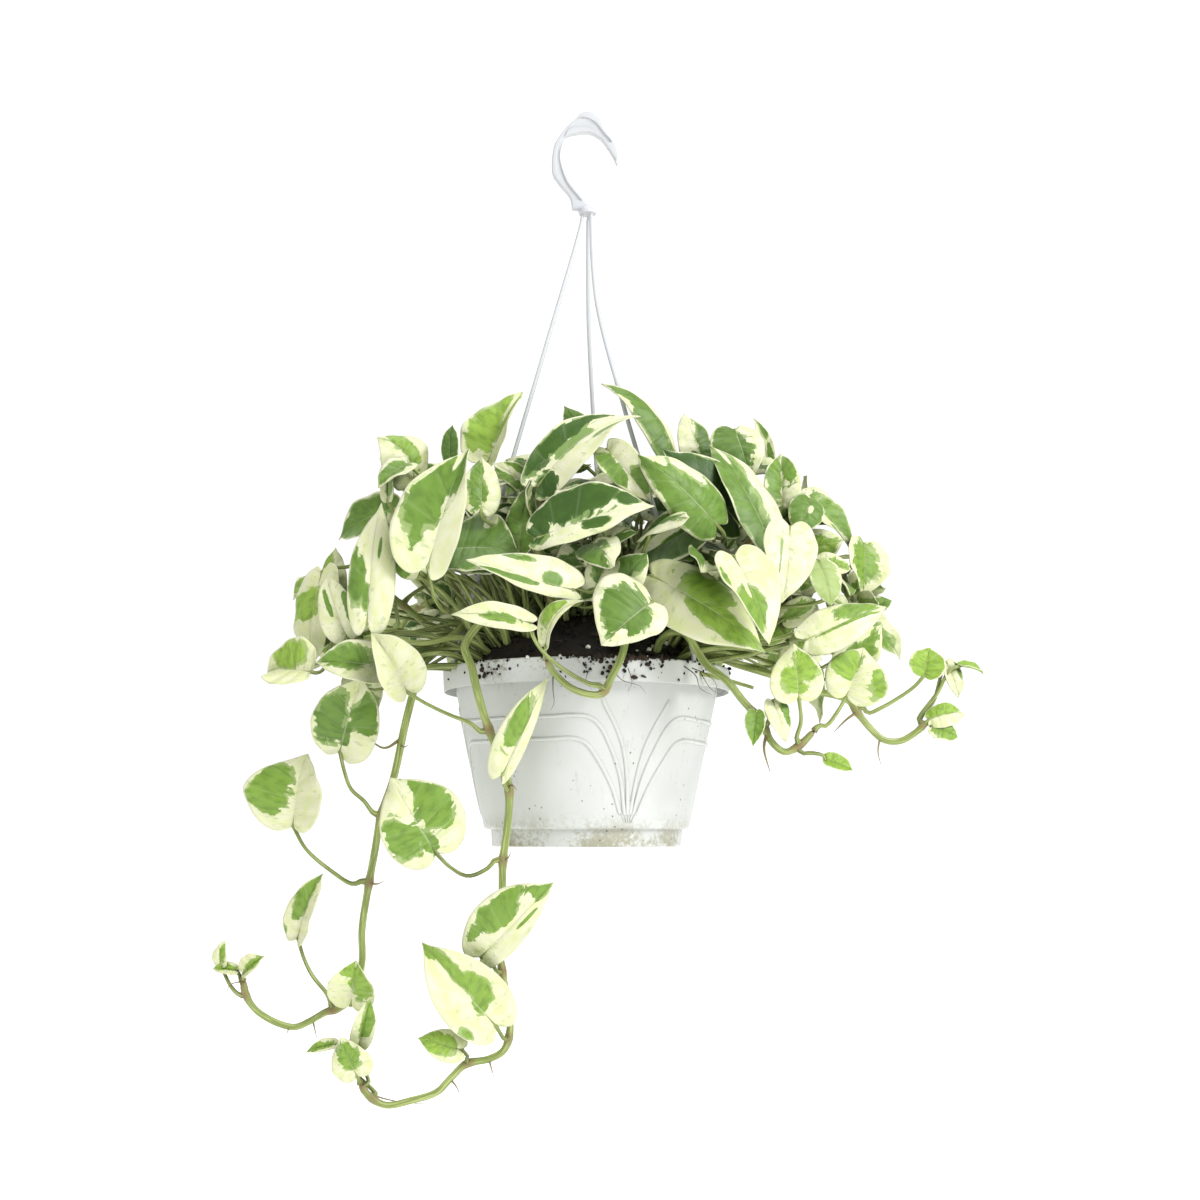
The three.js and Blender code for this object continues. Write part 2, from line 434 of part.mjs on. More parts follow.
    tip: at(178, 82, -432), width: 36, yaw: 110, pitch: 10, arch: 0.06, fold: 12 },
  { on: "vine_back_right", joint: at(54, 46, -372), base: at(82, 108, -352), tip: at(92, 138, -402),
    width: 46, yaw: 155, pitch: 20, arch: 0.06, fold: 10 },
];

const MATERIALS = {
  white_plastic: { color: 0xf1f1ee, roughness: 0.4, metalness: 0 },
  soil: { color: 0x241c16, roughness: 0.95, metalness: 0 },
  stem: { color: 0x7fa05c, roughness: 0.5, metalness: 0 },
  leaf: { color: 0xa9c182, roughness: 0.45, metalness: 0 },
};

// A geometry as a manifold solid, with its shared vertices merged.
function solid(geometry) {
  const bare = geometry.clone();
  bare.deleteAttribute("normal");
  bare.deleteAttribute("uv");
  const merged = mergeVertices(bare, 1e-4);
  const corners = merged.index.array;
  const kept = [];
  for (let i = 0; i < corners.length; i += 3) {
    const [a, b, c] = corners.slice(i, i + 3);
    if (a !== b && b !== c && c !== a) kept.push(a, b, c);
  }
  return new wasm.Manifold(
    new wasm.Mesh({
      numProp: 3,
      vertProperties: merged.attributes.position.array,
      triVerts: new Uint32Array(kept),
    }),
  );
}

// A manifold solid as a geometry.
function geometryOf(body) {
  const mesh = body.getMesh();
  return new THREE.BufferGeometry()
    .setAttribute("position", new THREE.BufferAttribute(mesh.vertProperties, 3))
    .setIndex(new THREE.BufferAttribute(mesh.triVerts, 1));
}

// A closed geometry from a list of points and a list of corner triples.
function closedGeometry(points, corners) {
  const positions = points.flatMap((p) => [p.x, p.y, p.z]);
  return new THREE.BufferGeometry()
    .setAttribute("position", new THREE.Float32BufferAttribute(positions, 3))
    .setIndex(corners);
}

// The radii of a run of points, going evenly from the first to the last.
const evenly = (points, first, last) =>
  points.map((_, i) => THREE.MathUtils.lerp(first, last, i / (points.length - 1)));

// A closed tube along a run of points, with a radius at each.
function tube(points, radii, sides) {
  const tangents = points.map((p, i) => {
    const before = points[Math.max(i - 1, 0)];
    const after = points[Math.min(i + 1, points.length - 1)];
    return after.clone().sub(before).normalize();
  });
  const side = at(0.3, -1, 0.2).cross(tangents[0]).normalize();
  const vertices = [];
  points.forEach((p, i) => {
    side.addScaledVector(tangents[i], -side.dot(tangents[i])).normalize();
    const across = tangents[i].clone().cross(side);
    for (let k = 0; k < sides; k++) {
      const angle = (2 * Math.PI * k) / sides;
      vertices.push(
        p.clone()
          .addScaledVector(side, radii[i] * Math.cos(angle))
          .addScaledVector(across, radii[i] * Math.sin(angle)),
      );
    }
  });
  const corners = [];
  for (let i = 0; i < points.length - 1; i++) {
    for (let k = 0; k < sides; k++) {
      const a = i * sides + k;
      const b = i * sides + ((k + 1) % sides);
      corners.push(a, b, b + sides, a, b + sides, a + sides);
    }
  }
  const last = (points.length - 1) * sides;
  for (let k = 1; k < sides - 1; k++) {
    corners.push(0, k + 1, k);
    corners.push(last, last + k, last + k + 1);
  }
  return closedGeometry(vertices, corners);
}

// A ring or disc about the Z axis from its half section, given as radius and height.
function turned(section, segments) {
  const outline = section.map(([radius, height]) => new THREE.Vector2(radius, height));
  return new THREE.LatheGeometry(outline, segments).rotateX(Math.PI / 2);
}

// A direction out from the Z axis. The bearing is measured from the viewer towards the right.
function outward(bearing) {
  const angle = THREE.MathUtils.degToRad(bearing);
  return at(Math.sin(angle), -Math.cos(angle), 0);
}

// Where a strand goes through the rim's flange.
const strandHole = (bearing) => outward(bearing).multiplyScalar(RIM_RADIUS - STRAND_INSET);

function potSolid() {
  const wallInside = WALL_TOP_RADIUS - WALL_THICKNESS;
  const skirt = RIM_Z - SKIRT_DEPTH;
  const flange = RIM_Z - FLANGE_THICKNESS;
  let body = solid(
    turned(
      [
        [0, BASE_Z + FOOT_RECESS],
        [FOOT_RADIUS - FOOT_RING, BASE_Z + FOOT_RECESS],
        [FOOT_RADIUS - FOOT_RING, BASE_Z],
        [FOOT_RADIUS - FOOT_TAPER, BASE_Z],
        [FOOT_RADIUS, STEP_Z],
        [WALL_FOOT_RADIUS, STEP_Z],
        [WALL_TOP_RADIUS, skirt],
        [WALL_TOP_RADIUS, flange],
        [RIM_RADIUS - SKIRT_THICKNESS, flange],
        [RIM_RADIUS - SKIRT_THICKNESS, skirt],
        [RIM_RADIUS - SKIRT_TAPER, skirt],
        [RIM_RADIUS, RIM_Z],
        [wallInside, RIM_Z],
        [wallInside, skirt],
        [WALL_FOOT_RADIUS - WALL_THICKNESS, STEP_Z + FLOOR_THICKNESS],
        [FOOT_INSIDE, STEP_Z + FLOOR_THICKNESS],
        [FOOT_INSIDE, FLOOR_Z],
        [0, FLOOR_Z],
      ],
      POT_SEGMENTS,
    ),
  );
  for (const { bearing } of STRANDS) {
    const spot = strandHole(bearing);
    const hole = new THREE.CylinderGeometry(STRAND_HOLE_RADIUS, STRAND_HOLE_RADIUS, 10, 8);
    body = body.subtract(solid(hole.rotateX(Math.PI / 2).translate(spot.x, spot.y, RIM_Z)));
  }
  return body;
}

// The height of the soil's top at a distance from the axis.
function soilTop(radius) {
  const edge = WALL_TOP_RADIUS - WALL_THICKNESS - ROUND_GAP;
  const share = Math.min(radius / edge, 1);
  return RIM_Z - SOIL_EDGE_DROP + (SOIL_HEAP + SOIL_EDGE_DROP) * (1 - share ** 2.2);
}

function soilSolid(stems) {
  const edge = WALL_TOP_RADIUS - WALL_THICKNESS - ROUND_GAP;
  const section = [
    [0, FLOOR_Z + GAP],
    [FOOT_INSIDE - ROUND_GAP, FLOOR_Z + GAP],
    [FOOT_INSIDE - ROUND_GAP, STEP_Z + FLOOR_THICKNESS + GAP],
    [WALL_FOOT_RADIUS - WALL_THICKNESS - ROUND_GAP, STEP_Z + FLOOR_THICKNESS + GAP],
    [edge, RIM_Z - SKIRT_DEPTH],
  ];
  for (let i = 0; i <= SOIL_RINGS; i++) {
    const radius = edge * (1 - i / SOIL_RINGS);
    section.push([radius, soilTop(radius)]);
  }
  let body = solid(turned(section, SOIL_SEGMENTS));
  for (const stem of stems) body = body.subtract(socket(stem));
  return body;
}

// The hole in the soil round the rooted end of a stem.
function socket(stem) {
  const run = stem.run.slice(0, 4);
  const inward = run[0].clone().sub(run[1]).normalize();
  run[0] = run[0].clone().addScaledVector(inward, GAP);
  const radii = stem.radii.map((radius) => radius + GAP + 0.1);
  return solid(tube(run, radii, STEM_SIDES));
}

function hookSolid() {
  const flat = ([across, down]) => {
    const spot = seen([across, down, 0]);
    return new THREE.Vector2(spot.x, spot.z);
  };
  const outside = new THREE.SplineCurve(HOOK_OUTSIDE.map(flat)).getPoints(20);
  const inside = new THREE.SplineCurve(HOOK_INSIDE.map(flat)).getPoints(16);
  const geometry = new THREE.ExtrudeGeometry(new THREE.Shape([...outside, ...inside]), {
    depth: HOOK_THICKNESS - 2 * HOOK_BEVEL,
    bevelThickness: HOOK_BEVEL,
    bevelSize: HOOK_BEVEL,
    bevelOffset: -HOOK_BEVEL,
    bevelSegments: 1,
  });
  geometry.translate(0, 0, HOOK_BEVEL - HOOK_THICKNESS / 2).rotateX(Math.PI / 2);
  const collar = turned(
    [[0, COLLAR_Z], [COLLAR_RADIUS, COLLAR_Z], [COLLAR_RADIUS, COLLAR_TOP_Z], [0, COLLAR_TOP_Z]],
    16,
  );
  let body = solid(geometry).add(solid(collar));
  for (const { bearing } of STRANDS) {
    const spot = outward(bearing).multiplyScalar(STRAND_CIRCLE);
    const radius = PEG_RADIUS + GAP;
    const hole = new THREE.CylinderGeometry(radius, radius, SOCKET_DEPTH * 2, 8);
    body = body.subtract(solid(hole.rotateX(Math.PI / 2).translate(spot.x, spot.y, COLLAR_Z)));
  }
  return body;
}

// A strand: a peg in the collar, a straight run to the rim's hole and a knob below the flange.
function strandSolid({ bearing }) {
  const top = outward(bearing).multiplyScalar(STRAND_CIRCLE).setZ(COLLAR_Z - GAP);
  const peg = top.clone().setZ(COLLAR_Z + SOCKET_DEPTH - 2 * GAP);
  const hole = strandHole(bearing).setZ(RIM_Z + 3);
  const knobTop = RIM_Z - FLANGE_THICKNESS - GAP;
  const way = [top, top.clone().setZ(COLLAR_Z - 5), hole, hole.clone().setZ(knobTop - 1)];
  const run = tube(way, evenly(way, STRAND_RADIUS, STRAND_RADIUS), STRAND_SIDES);
  const pegTube = tube([peg, top.clone().setZ(COLLAR_Z - 2)], [PEG_RADIUS, PEG_RADIUS], 8);
  const knob = new THREE.BoxGeometry(KNOB_WIDTH, KNOB_DEPTH, KNOB_HEIGHT)
    .rotateZ(THREE.MathUtils.degToRad(bearing))
    .translate(hole.x, hole.y, knobTop - KNOB_HEIGHT / 2);
  return solid(run).add(solid(pegTube)).add(solid(knob));
}

// A place in millimetres, from either way of writing it.
const place = (spot) => (spot.isVector3 ? spot.clone() : seen(spot));

// A stem: the run of points along its smooth curve, and its radius at each.
function makeStem(name) {
  const curve = new THREE.CatmullRomCurve3(VINES[name].map(place), false, "centripetal");
  const run = curve.getSpacedPoints(Math.ceil(curve.getLength() / STEM_STEP));
  return { name, run, radii: evenly(run, STEM_RADIUS, STEM_TIP_RADIUS) };
}

// The nearest place on a stem's run, with the stem's direction and radius there.
function nearest(stem, point) {
  let best = null;
  const line = new THREE.Line3();
  stem.run.slice(1).forEach((end, i) => {
    line.set(stem.run[i], end);
    const share = line.closestPointToPointParameter(point, true);
    const spot = line.at(share, at(0, 0, 0));
    const distance = spot.distanceTo(point);
    if (best && best.distance <= distance) return;
    const direction = end.clone().sub(stem.run[i]).normalize();
    const atEnd = i === stem.run.length - 2 && share === 1;
    best = { distance, spot, direction, radius: stem.radii[i], atEnd };
  });
  return best;
}

// A leaf's frame: where its blade starts, and its directions across, along and out of its face.
function leafFrame(leaf) {
  const base = place(leaf.base);
  const along = place(leaf.tip).sub(base);
  const length = along.length();
  along.normalize();
  const yaw = THREE.MathUtils.degToRad(leaf.yaw);
  const pitch = THREE.MathUtils.degToRad(leaf.pitch);
  const face = at(
    Math.sin(yaw) * Math.cos(pitch),
    -Math.cos(yaw) * Math.cos(pitch),
    Math.sin(pitch),
  );
  face.addScaledVector(along, -face.dot(along)).normalize();
  return { base, length, along, face, across: along.clone().cross(face) };
}

// A place on the middle of the blade: u runs across from edge to edge, v from petiole to tip.
function bladePoint(leaf, frame, u, v) {
  const edge = BLADE_EDGE.getPoint(v);
  const side = Math.abs(u);
  const share = v ** VEIN_RAKE * (1 - side) + edge.y * side;
  const inside = THREE.MathUtils.clamp(share, 0, 1);
  const bend = 4 * inside * (1 - inside) * frame.length;
  const x = (u * edge.x * leaf.width) / 2;
  const rise = Math.abs(x) * Math.tan(THREE.MathUtils.degToRad(leaf.fold ?? 0));
  return frame.base
    .clone()
    .addScaledVector(frame.across, x + (leaf.bow ?? 0) * bend)
    .addScaledVector(frame.along, share * frame.length)
    .addScaledVector(frame.face, (leaf.arch ?? 0) * bend + rise);
}

// The blade as a thin closed shell.
function bladeSolid(leaf, frame) {
  const { rows, columns } = leaf.own ? LARGE_BLADE : SMALL_BLADE;
  const middle = [bladePoint(leaf, frame, 0, 0)];
  for (const v of rows) for (const u of columns) middle.push(bladePoint(leaf, frame, u, v));
  middle.push(bladePoint(leaf, frame, 0, 1));
  const width = columns.length;
  const tip = middle.length - 1;
  const corner = (row, column) => 1 + row * width + column;
  const faces = [];
  for (let c = 0; c < width - 1; c++) {
    faces.push([0, corner(0, c + 1), corner(0, c)]);
    for (let r = 0; r < rows.length - 1; r++) {
      faces.push([corner(r, c), corner(r, c + 1), corner(r + 1, c + 1)]);
      faces.push([corner(r, c), corner(r + 1, c + 1), corner(r + 1, c)]);
    }
    faces.push([tip, corner(rows.length - 1, c), corner(rows.length - 1, c + 1)]);
  }
  const normals = middle.map(() => at(0, 0, 0));
  for (const [a, b, c] of faces) {
    const normal = middle[b].clone().sub(middle[a]).cross(middle[c].clone().sub(middle[a]));
    for (const i of [a, b, c]) normals[i].add(normal);
  }
  const offset = (sign) =>
    middle.map((p, i) =>
      p.clone().addScaledVector(normals[i].clone().normalize(), (sign * BLADE_THICKNESS) / 2),
    );
  const count = middle.length;
  const corners = [];
  for (const [a, b, c] of faces) corners.push(a, b, c, a + count, c + count, b + count);
  const left = rows.map((_, r) => corner(r, 0)).reverse();
  const right = rows.map((_, r) => corner(r, width - 1));
  const rim = [0, ...right, tip, ...left];
  rim.forEach((a, i) => {
    const b = rim[(i + 1) % rim.length];
    corners.push(a, a + count, b + count, a, b + count, b);
  });
  return solid(closedGeometry([...offset(1), ...offset(-1)], corners));
}

// The petiole, from the stem's side or end to its own end as the midrib inside the blade.
function petioleSolid(leaf, frame, stem) {
  const joint = nearest(stem, place(leaf.joint));
  const way = (leaf.via ?? []).map(place);
  const aim = way[0] ?? frame.base;
  const away = joint.direction.clone();
  if (!joint.atEnd) {
    away.copy(aim).sub(joint.spot);
    away.addScaledVector(joint.direction, -away.dot(joint.direction)).normalize();
  }
  const start = joint.spot.clone();
  const clearance = joint.atEnd ? PETIOLE_GAP : joint.radius + PETIOLE_GAP;
  if (leaf.own) start.addScaledVector(away, clearance);
  const reach = start.distanceTo(frame.base) / 3;
  const arrive = frame.along.clone().multiplyScalar(0.7).addScaledVector(frame.face, 0.5);
  const bend = frame.base.clone().addScaledVector(arrive.normalize(), -reach);
  const leave = start.clone().addScaledVector(away, reach);
  const curve = way.length
    ? new THREE.CatmullRomCurve3(
        [start, start.clone().addScaledVector(away, 3), ...way, frame.base],
        false,
        "centripetal",
      )
    : new THREE.CubicBezierCurve3(start, leave, bend, frame.base);
  const steps = Math.max(3, Math.round(curve.getLength() / PETIOLE_STEP));
  const run = curve.getSpacedPoints(steps);
  const radii = evenly(run, PETIOLE_RADIUS, PETIOLE_TIP_RADIUS);
  run.push(bladePoint(leaf, frame, 0, 0.3));
  return solid(tube(run, [...radii, MIDRIB_RADIUS], PETIOLE_SIDES));
}

function leafSolid(leaf, stem) {
  const frame = leafFrame(leaf);
  return bladeSolid(leaf, frame).add(petioleSolid(leaf, frame, stem));
}

function stemSolid(stem) {
  let body = solid(tube(stem.run, stem.radii, STEM_SIDES));
  for (const leaf of LEAVES) {
    if (leaf.on === stem.name && !leaf.own) body = body.add(leafSolid(leaf, stem));
  }
  return body;
}

// Names a solid, gives it its material and adds it to a group.
function addPiece(group, name, body, material) {
  const mesh = new THREE.Mesh(
    geometryOf(body),
    new THREE.MeshStandardMaterial(MATERIALS[material]),
  );
  mesh.name = name;
  group.add(mesh);
}

const stems = Object.keys(VINES).map(makeStem);

const hangingPot = new THREE.Group();
addPiece(hangingPot, "pot", potSolid(), "white_plastic");
addPiece(hangingPot, "soil", soilSolid(stems), "soil");
addPiece(hangingPot, "hanger_hook", hookSolid(), "white_plastic");
for (const strand of STRANDS) {
  addPiece(hangingPot, strand.name, strandSolid(strand), "white_plastic");
}

const plant = new THREE.Group();
for (const stem of stems) addPiece(plant, stem.name, stemSolid(stem), "stem");
for (const leaf of LEAVES.filter((l) => l.own)) {
  const stem = stems.find((s) => s.name === leaf.on);
  addPiece(plant, leaf.name, leafSolid(leaf, stem), "leaf");
}

const pottedPlant = new THREE.Group();
pottedPlant.add(hangingPot, plant);

export default pottedPlant;
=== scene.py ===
# A potted variegated pothos in a white plastic hanging pot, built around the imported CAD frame.
# Lengths are millimetres until a mesh is made. +Z is up, +X to the right and -Y to the viewer.
import math
import random
from functools import partial

import bmesh
import bpy
import numpy as np
from bpy.props import FloatProperty, FloatVectorProperty, IntProperty, PointerProperty
from mathutils import Matrix, Vector, kdtree, noise


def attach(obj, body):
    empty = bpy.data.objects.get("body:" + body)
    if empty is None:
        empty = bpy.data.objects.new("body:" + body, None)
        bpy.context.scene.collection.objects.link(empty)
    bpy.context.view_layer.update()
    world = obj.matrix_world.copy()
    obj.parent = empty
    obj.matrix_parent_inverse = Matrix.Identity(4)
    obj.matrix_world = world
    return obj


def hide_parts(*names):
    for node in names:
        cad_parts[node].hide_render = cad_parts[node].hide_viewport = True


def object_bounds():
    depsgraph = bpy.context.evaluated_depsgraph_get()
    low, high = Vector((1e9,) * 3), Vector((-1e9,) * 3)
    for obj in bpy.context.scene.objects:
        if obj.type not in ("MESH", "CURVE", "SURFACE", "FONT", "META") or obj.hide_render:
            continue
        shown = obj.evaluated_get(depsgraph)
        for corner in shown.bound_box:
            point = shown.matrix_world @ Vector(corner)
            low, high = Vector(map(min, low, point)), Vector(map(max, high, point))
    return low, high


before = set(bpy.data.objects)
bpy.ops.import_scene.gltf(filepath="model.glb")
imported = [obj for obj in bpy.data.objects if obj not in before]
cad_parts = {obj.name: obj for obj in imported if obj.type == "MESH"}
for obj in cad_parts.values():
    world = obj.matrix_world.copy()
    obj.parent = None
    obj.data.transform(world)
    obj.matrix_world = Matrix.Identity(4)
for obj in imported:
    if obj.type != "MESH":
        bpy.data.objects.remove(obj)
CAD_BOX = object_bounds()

bl_info = {
    "name": "Hanging Pothos",
    "version": (1, 0, 0),
    "blender": (4, 5, 0),
    "location": "View3D > Sidebar > Pothos",
    "description": "A variegated trailing pothos in a hanging pot",
    "category": "Add Mesh",
}

MM = 0.001

# The pot, as its CAD node has it: the rim with its skirt, the cone of the wall and the foot.
RIM_Z = -401
RIM_RADIUS = 101.5
SKIRT_DEPTH = 16
SKIRT_THICKNESS = 1.6
SKIRT_TAPER = 0.8
FLANGE_THICKNESS = 1.8
WALL_TOP_RADIUS = 92
WALL_THICKNESS = 1.5
WALL_FOOT_RADIUS = 71.4
STEP_Z = -512
FOOT_RADIUS = 66.8
FOOT_TAPER = 0.8
BASE_Z = -524
FOOT_RING = 7
FOOT_RECESS = 3
FLOOR_THICKNESS = 1.6
FOOT_INSIDE = FOOT_RADIUS - FOOT_TAPER - FLOOR_THICKNESS
FLOOR_Z = BASE_Z + FOOT_RECESS + FLOOR_THICKNESS

# The raised lines on the pot's wall, one half of one pattern: the bearing in degrees from the
# pattern's middle, and the height. The pattern stands three times round the pot.
RELIEF_LINES = [
    [(-60, -439), (-40, -439), (-22, -439), (-17, -444), (-11.5, -458), (-6, -478), (-2.4, -503)],
    [(-60, -453.5), (-42, -453.5), (-27, -453.5), (-22, -457), (-16.5, -468), (-10, -484),
     (-4.6, -503)],
    [(-15.5, -427), (-14.5, -431), (-9.4, -445), (-5.2, -460), (-2.6, -478), (-0.7, -503)],
]
RELIEF_BEARINGS = [22.6, 142.6, -97.4]
FAN_TOP_Z = -494
FAN_FOOT_Z = -508
FAN_SPREAD = 5.5

# The soil's heaped top, how far it stays off the pot, and how far spilled bits cling to the skirt.
SOIL_HEAP = 38
SOIL_EDGE_DROP = 4
SPILL_DROP = 14
SOIL_GAP = 0.5
SOIL_LIFT = 0.3
SOIL_RADIUS = WALL_TOP_RADIUS - WALL_THICKNESS - SOIL_GAP

# The hanger: a moulded hook with a collar, and three strands to the rim.
HOOK_THICKNESS = 6.4
HOOK_BEVEL = 1.5
WEB_THICKNESS = 3.6
COLLAR_RADIUS = 6.6
COLLAR_TOP_Z = -57.5
COLLAR_Z = -62.5
STRAND_CIRCLE = 4
STRAND_INSET = 5.5
STRAND_HOLE_RADIUS = 2.6
KNOB_SIZE = (9, 4.4, 3)
KNOB_BEVEL = 0.7
STRAND_BEARINGS = {"hanger_strand_left": -71, "hanger_strand_right": 49, "hanger_strand_back": 169}

# The plant: the radii of stems and petioles, and a blade's edge from the petiole round the lobe to
# the tip, as shares of the half width and of the length.
STEM_RADIUS = 2.9
STEM_TIP_RADIUS = 2.1
PETIOLE_RADIUS = 1.5
PETIOLE_TIP_RADIUS = 1.1
MIDRIB_REACH = (0.12, 0.22, 0.34)
MIDRIB_RADII = (0.8, 0.5, 0.3)
VEIN_RAKE = 1.8
BLADE_EDGE = [
    (0, 0), (0.36, -0.09), (0.77, -0.01), (1, 0.18), (1.01, 0.38), (0.84, 0.6), (0.49, 0.8),
    (0.15, 0.93), (0, 1),
]
BLADE_MESH = (40, 25)
MOUND_BLADE_MESH = (22, 15)

# The eye's place, in millimetres, and the picture that the plant is laid out in, 1200 wide, whose
# middle looks up a little.
EYE = (9.4, -1166, -516.1)
PICTURE_WIDTH = 1200
PICTURE_DEPTH = 1650
PICTURE_RAISE = 235
EYE_TILT = math.atan2(PICTURE_RAISE, PICTURE_DEPTH)
SENSOR_WIDTH = 36


def at(x, y, z):
    """A place in millimetres."""
    return np.array([x, y, z], float)


def seen(across, down, nearer=0):
    """The place seen at a picture point, nearer to the eye than the pot's axis by so many mm."""
    up = PICTURE_WIDTH / 2 - down
    forward = PICTURE_DEPTH * math.cos(EYE_TILT) - up * math.sin(EYE_TILT)
    rise = PICTURE_DEPTH * math.sin(EYE_TILT) + up * math.cos(EYE_TILT)
    scale = (-EYE[1] - nearer) / forward
    return at((across - PICTURE_WIDTH / 2) * scale + EYE[0], -nearer, EYE[2] + rise * scale)


def in_open_view(spots):
    """Whether any of some places hides, as seen from in front, the soil that stays in view."""
    offset = spots[spots[:, 1] < OPEN_DEPTH] - EYE
    forward = offset[:, 1] * math.cos(EYE_TILT) + offset[:, 2] * math.sin(EYE_TILT)
    rise = offset[:, 2] * math.cos(EYE_TILT) - offset[:, 1] * math.sin(EYE_TILT)
    across = PICTURE_WIDTH / 2 + offset[:, 0] / forward * PICTURE_DEPTH
    down = PICTURE_WIDTH / 2 - rise / forward * PICTURE_DEPTH
    return any(
        ((across > left) & (across < right) & (down > top) & (down < bottom)).any()
        for left, top, right, bottom in OPEN_VIEWS
    )


def place(spot):
    """A place from either way of writing it: at(x, y, z), or a picture point and its depth."""
    return spot.copy() if isinstance(spot, np.ndarray) else seen(*spot)


def patch(kind, across, along, half_across, half_along, turn=0):
    """A patch on a blade: an oval, in shares of the half width and of the length."""
    return (kind, across, along, half_across, half_along, turn)


green, pale, cream = (partial(patch, kind) for kind in ("green", "pale", "cream"))
ALL_OVER = green(0, 0.5, 1.6, 1)


def leaf(joint, base, tip, width, yaw, pitch, name=None, **more):
    """A leaf: the place on its stem where the petiole leaves, and its blade."""
    node = {"name": "leaf_" + name} if name else {}
    blade = dict(joint=joint, base=base, tip=tip, width=width, yaw=yaw, pitch=pitch)
    return {"arch": 0.06, "fold": 10, **blade, **node, **more}


# The edge of the hook as it is seen from in front: up the outside to the tip, then back inside.
HOOK_OUTSIDE = [
    (572, 210), (570, 199), (557.3, 183), (552.6, 175), (552, 160.7), (554.7, 145), (560, 136.4),
    (568.6, 126), (574.7, 120.8), (581.6, 113.9), (588.5, 112), (599.8, 119.5), (606.7, 132),
    (613.7, 141), (618, 150), (619.3, 160), (616.8, 166),
]
HOOK_INSIDE = [
    (613.7, 159), (607.6, 149.4), (599.8, 139.5), (588.5, 134), (576, 134.7), (565, 138),
    (561.7, 147), (560.8, 160.7), (563.4, 168.5), (569.5, 180.6), (576, 190), (585, 201), (592, 211),
]

# The stems, each rooted in the soil: its points in order. A row of three picture values is a place
# as seen from in front; at() is a place in millimetres.
VINES = {
    "vine_left_trail": [
        at(-50, -22, -412), at(-56, -24, -385), at(-72, -30, -366), (436, 652, 46),
        (420, 668, 52), (412, 697, 54), (405, 725, 54), (393, 780, 54), (381, 815, 54),
        (375, 850, 54), (369, 883, 54), (362, 930, 54), (362, 962, 54), (355, 990, 52),
        (340, 1008, 50), (326, 1012, 50), (310, 1021, 50), (295, 1027, 50), (275, 1022, 50),
        (255, 1009, 50), (246, 995, 50), (243, 980, 50),
    ],
    "vine_front_trail": [
        at(-52, -42, -410), at(-54, -46, -386), at(-62, -58, -369), (465, 645, 82),
        (472, 668, 91), (477, 690, 94), (483, 712, 93), (491, 735, 90), (503, 765, 86),
        (509, 790, 85), (507, 830, 84), (503, 860, 84), (502, 900, 84), (499, 940, 84),
        (502, 970, 84), (508, 1005, 84), (510, 1030, 84), (504, 1050, 84), (489, 1059, 84),
        (466, 1064, 84), (450, 1079, 84), (437, 1092, 84), (413, 1100, 84), (385, 1105, 84),
        (368, 1095, 84), (360, 1083, 84),
    ],
    "vine_front_loop": [
        at(14, -56, -404), at(15, -60, -378), (624, 636, 86), (622, 655, 105), (612, 676, 113),
        (601, 694, 116), (575, 690, 117), (555, 674, 118), (546, 660, 119),
    ],
    "vine_right_low": [
        at(46, -58, -410), at(50, -63, -387), at(64, -76, -382), (706, 664, 86), (728, 682, 96),
        (744, 702, 96), (762, 722, 96), (771, 741, 96), (785, 752, 96), (800, 745, 96),
        (814, 731, 96),
    ],
    "vine_right_runner": [
        at(66, -26, -412), at(71, -28, -388), (736, 664, 40), (775, 676, 58), (812, 690, 64),
        (848, 700, 66), (857, 712, 66), (870, 728, 66), (884, 740, 66), (900, 741, 66),
        (915, 733, 66), (927, 722, 66),
    ],
    "vine_left_high": [
        at(-44, 0, -400), at(-48, -2, -374), (480, 628, 14), (452, 585, 22), (432, 545, 34),
        (418, 505, 36),
    ],
    "vine_left_mid": [
        at(-58, 14, -410), at(-62, 14, -380), (440, 632, 4), (404, 606, 22), (380, 588, 36),
        (356, 560, 44),
    ],
    "vine_left_low": [
        at(-70, -8, -412), at(-75, -7, -388), at(-92, -13, -377), (430, 655, 40), (404, 654, 52),
        (380, 650, 56), (350, 640, 54), (330, 640, 50),
    ],
    "vine_centre_left": [
        at(-22, -34, -392), at(-24, -36, -364), (552, 600, 52), (540, 560, 62), (534, 520, 60),
        (545, 490, 48),
    ],
    "vine_centre_right": [
        at(22, -20, -392), at(25, -22, -364), (630, 600, 34), (647, 560, 36), (668, 520, 32),
        (690, 480, 22),
    ],
    "vine_right_high": [
        at(56, -28, -404), at(62, -30, -378), (705, 625, 46), (722, 590, 58), (742, 550, 66),
        (768, 525, 56),
    ],
    "vine_right_mid": [
        at(66, -6, -410), at(71, -6, -384), (740, 636, 20), (776, 610, 36), (812, 590, 44),
        (846, 572, 38),
    ],
    "vine_back_left": [
        at(-40, 40, -408), at(-46, 46, -382), at(-76, 74, -352), at(-108, 98, -334),
        at(-138, 108, -346), at(-150, 104, -372),
    ],
    "vine_back": [
        at(-6, 44, -402), at(-6, 50, -376), at(-10, 84, -336), at(-14, 120, -314),
        at(-10, 152, -332), at(-4, 162, -364), at(-2, 160, -400),
    ],
    "vine_back_right": [
        at(42, 34, -406), at(48, 40, -380), at(78, 66, -348), at(108, 90, -330),
        at(138, 100, -342), at(152, 96, -370),
    ],
}

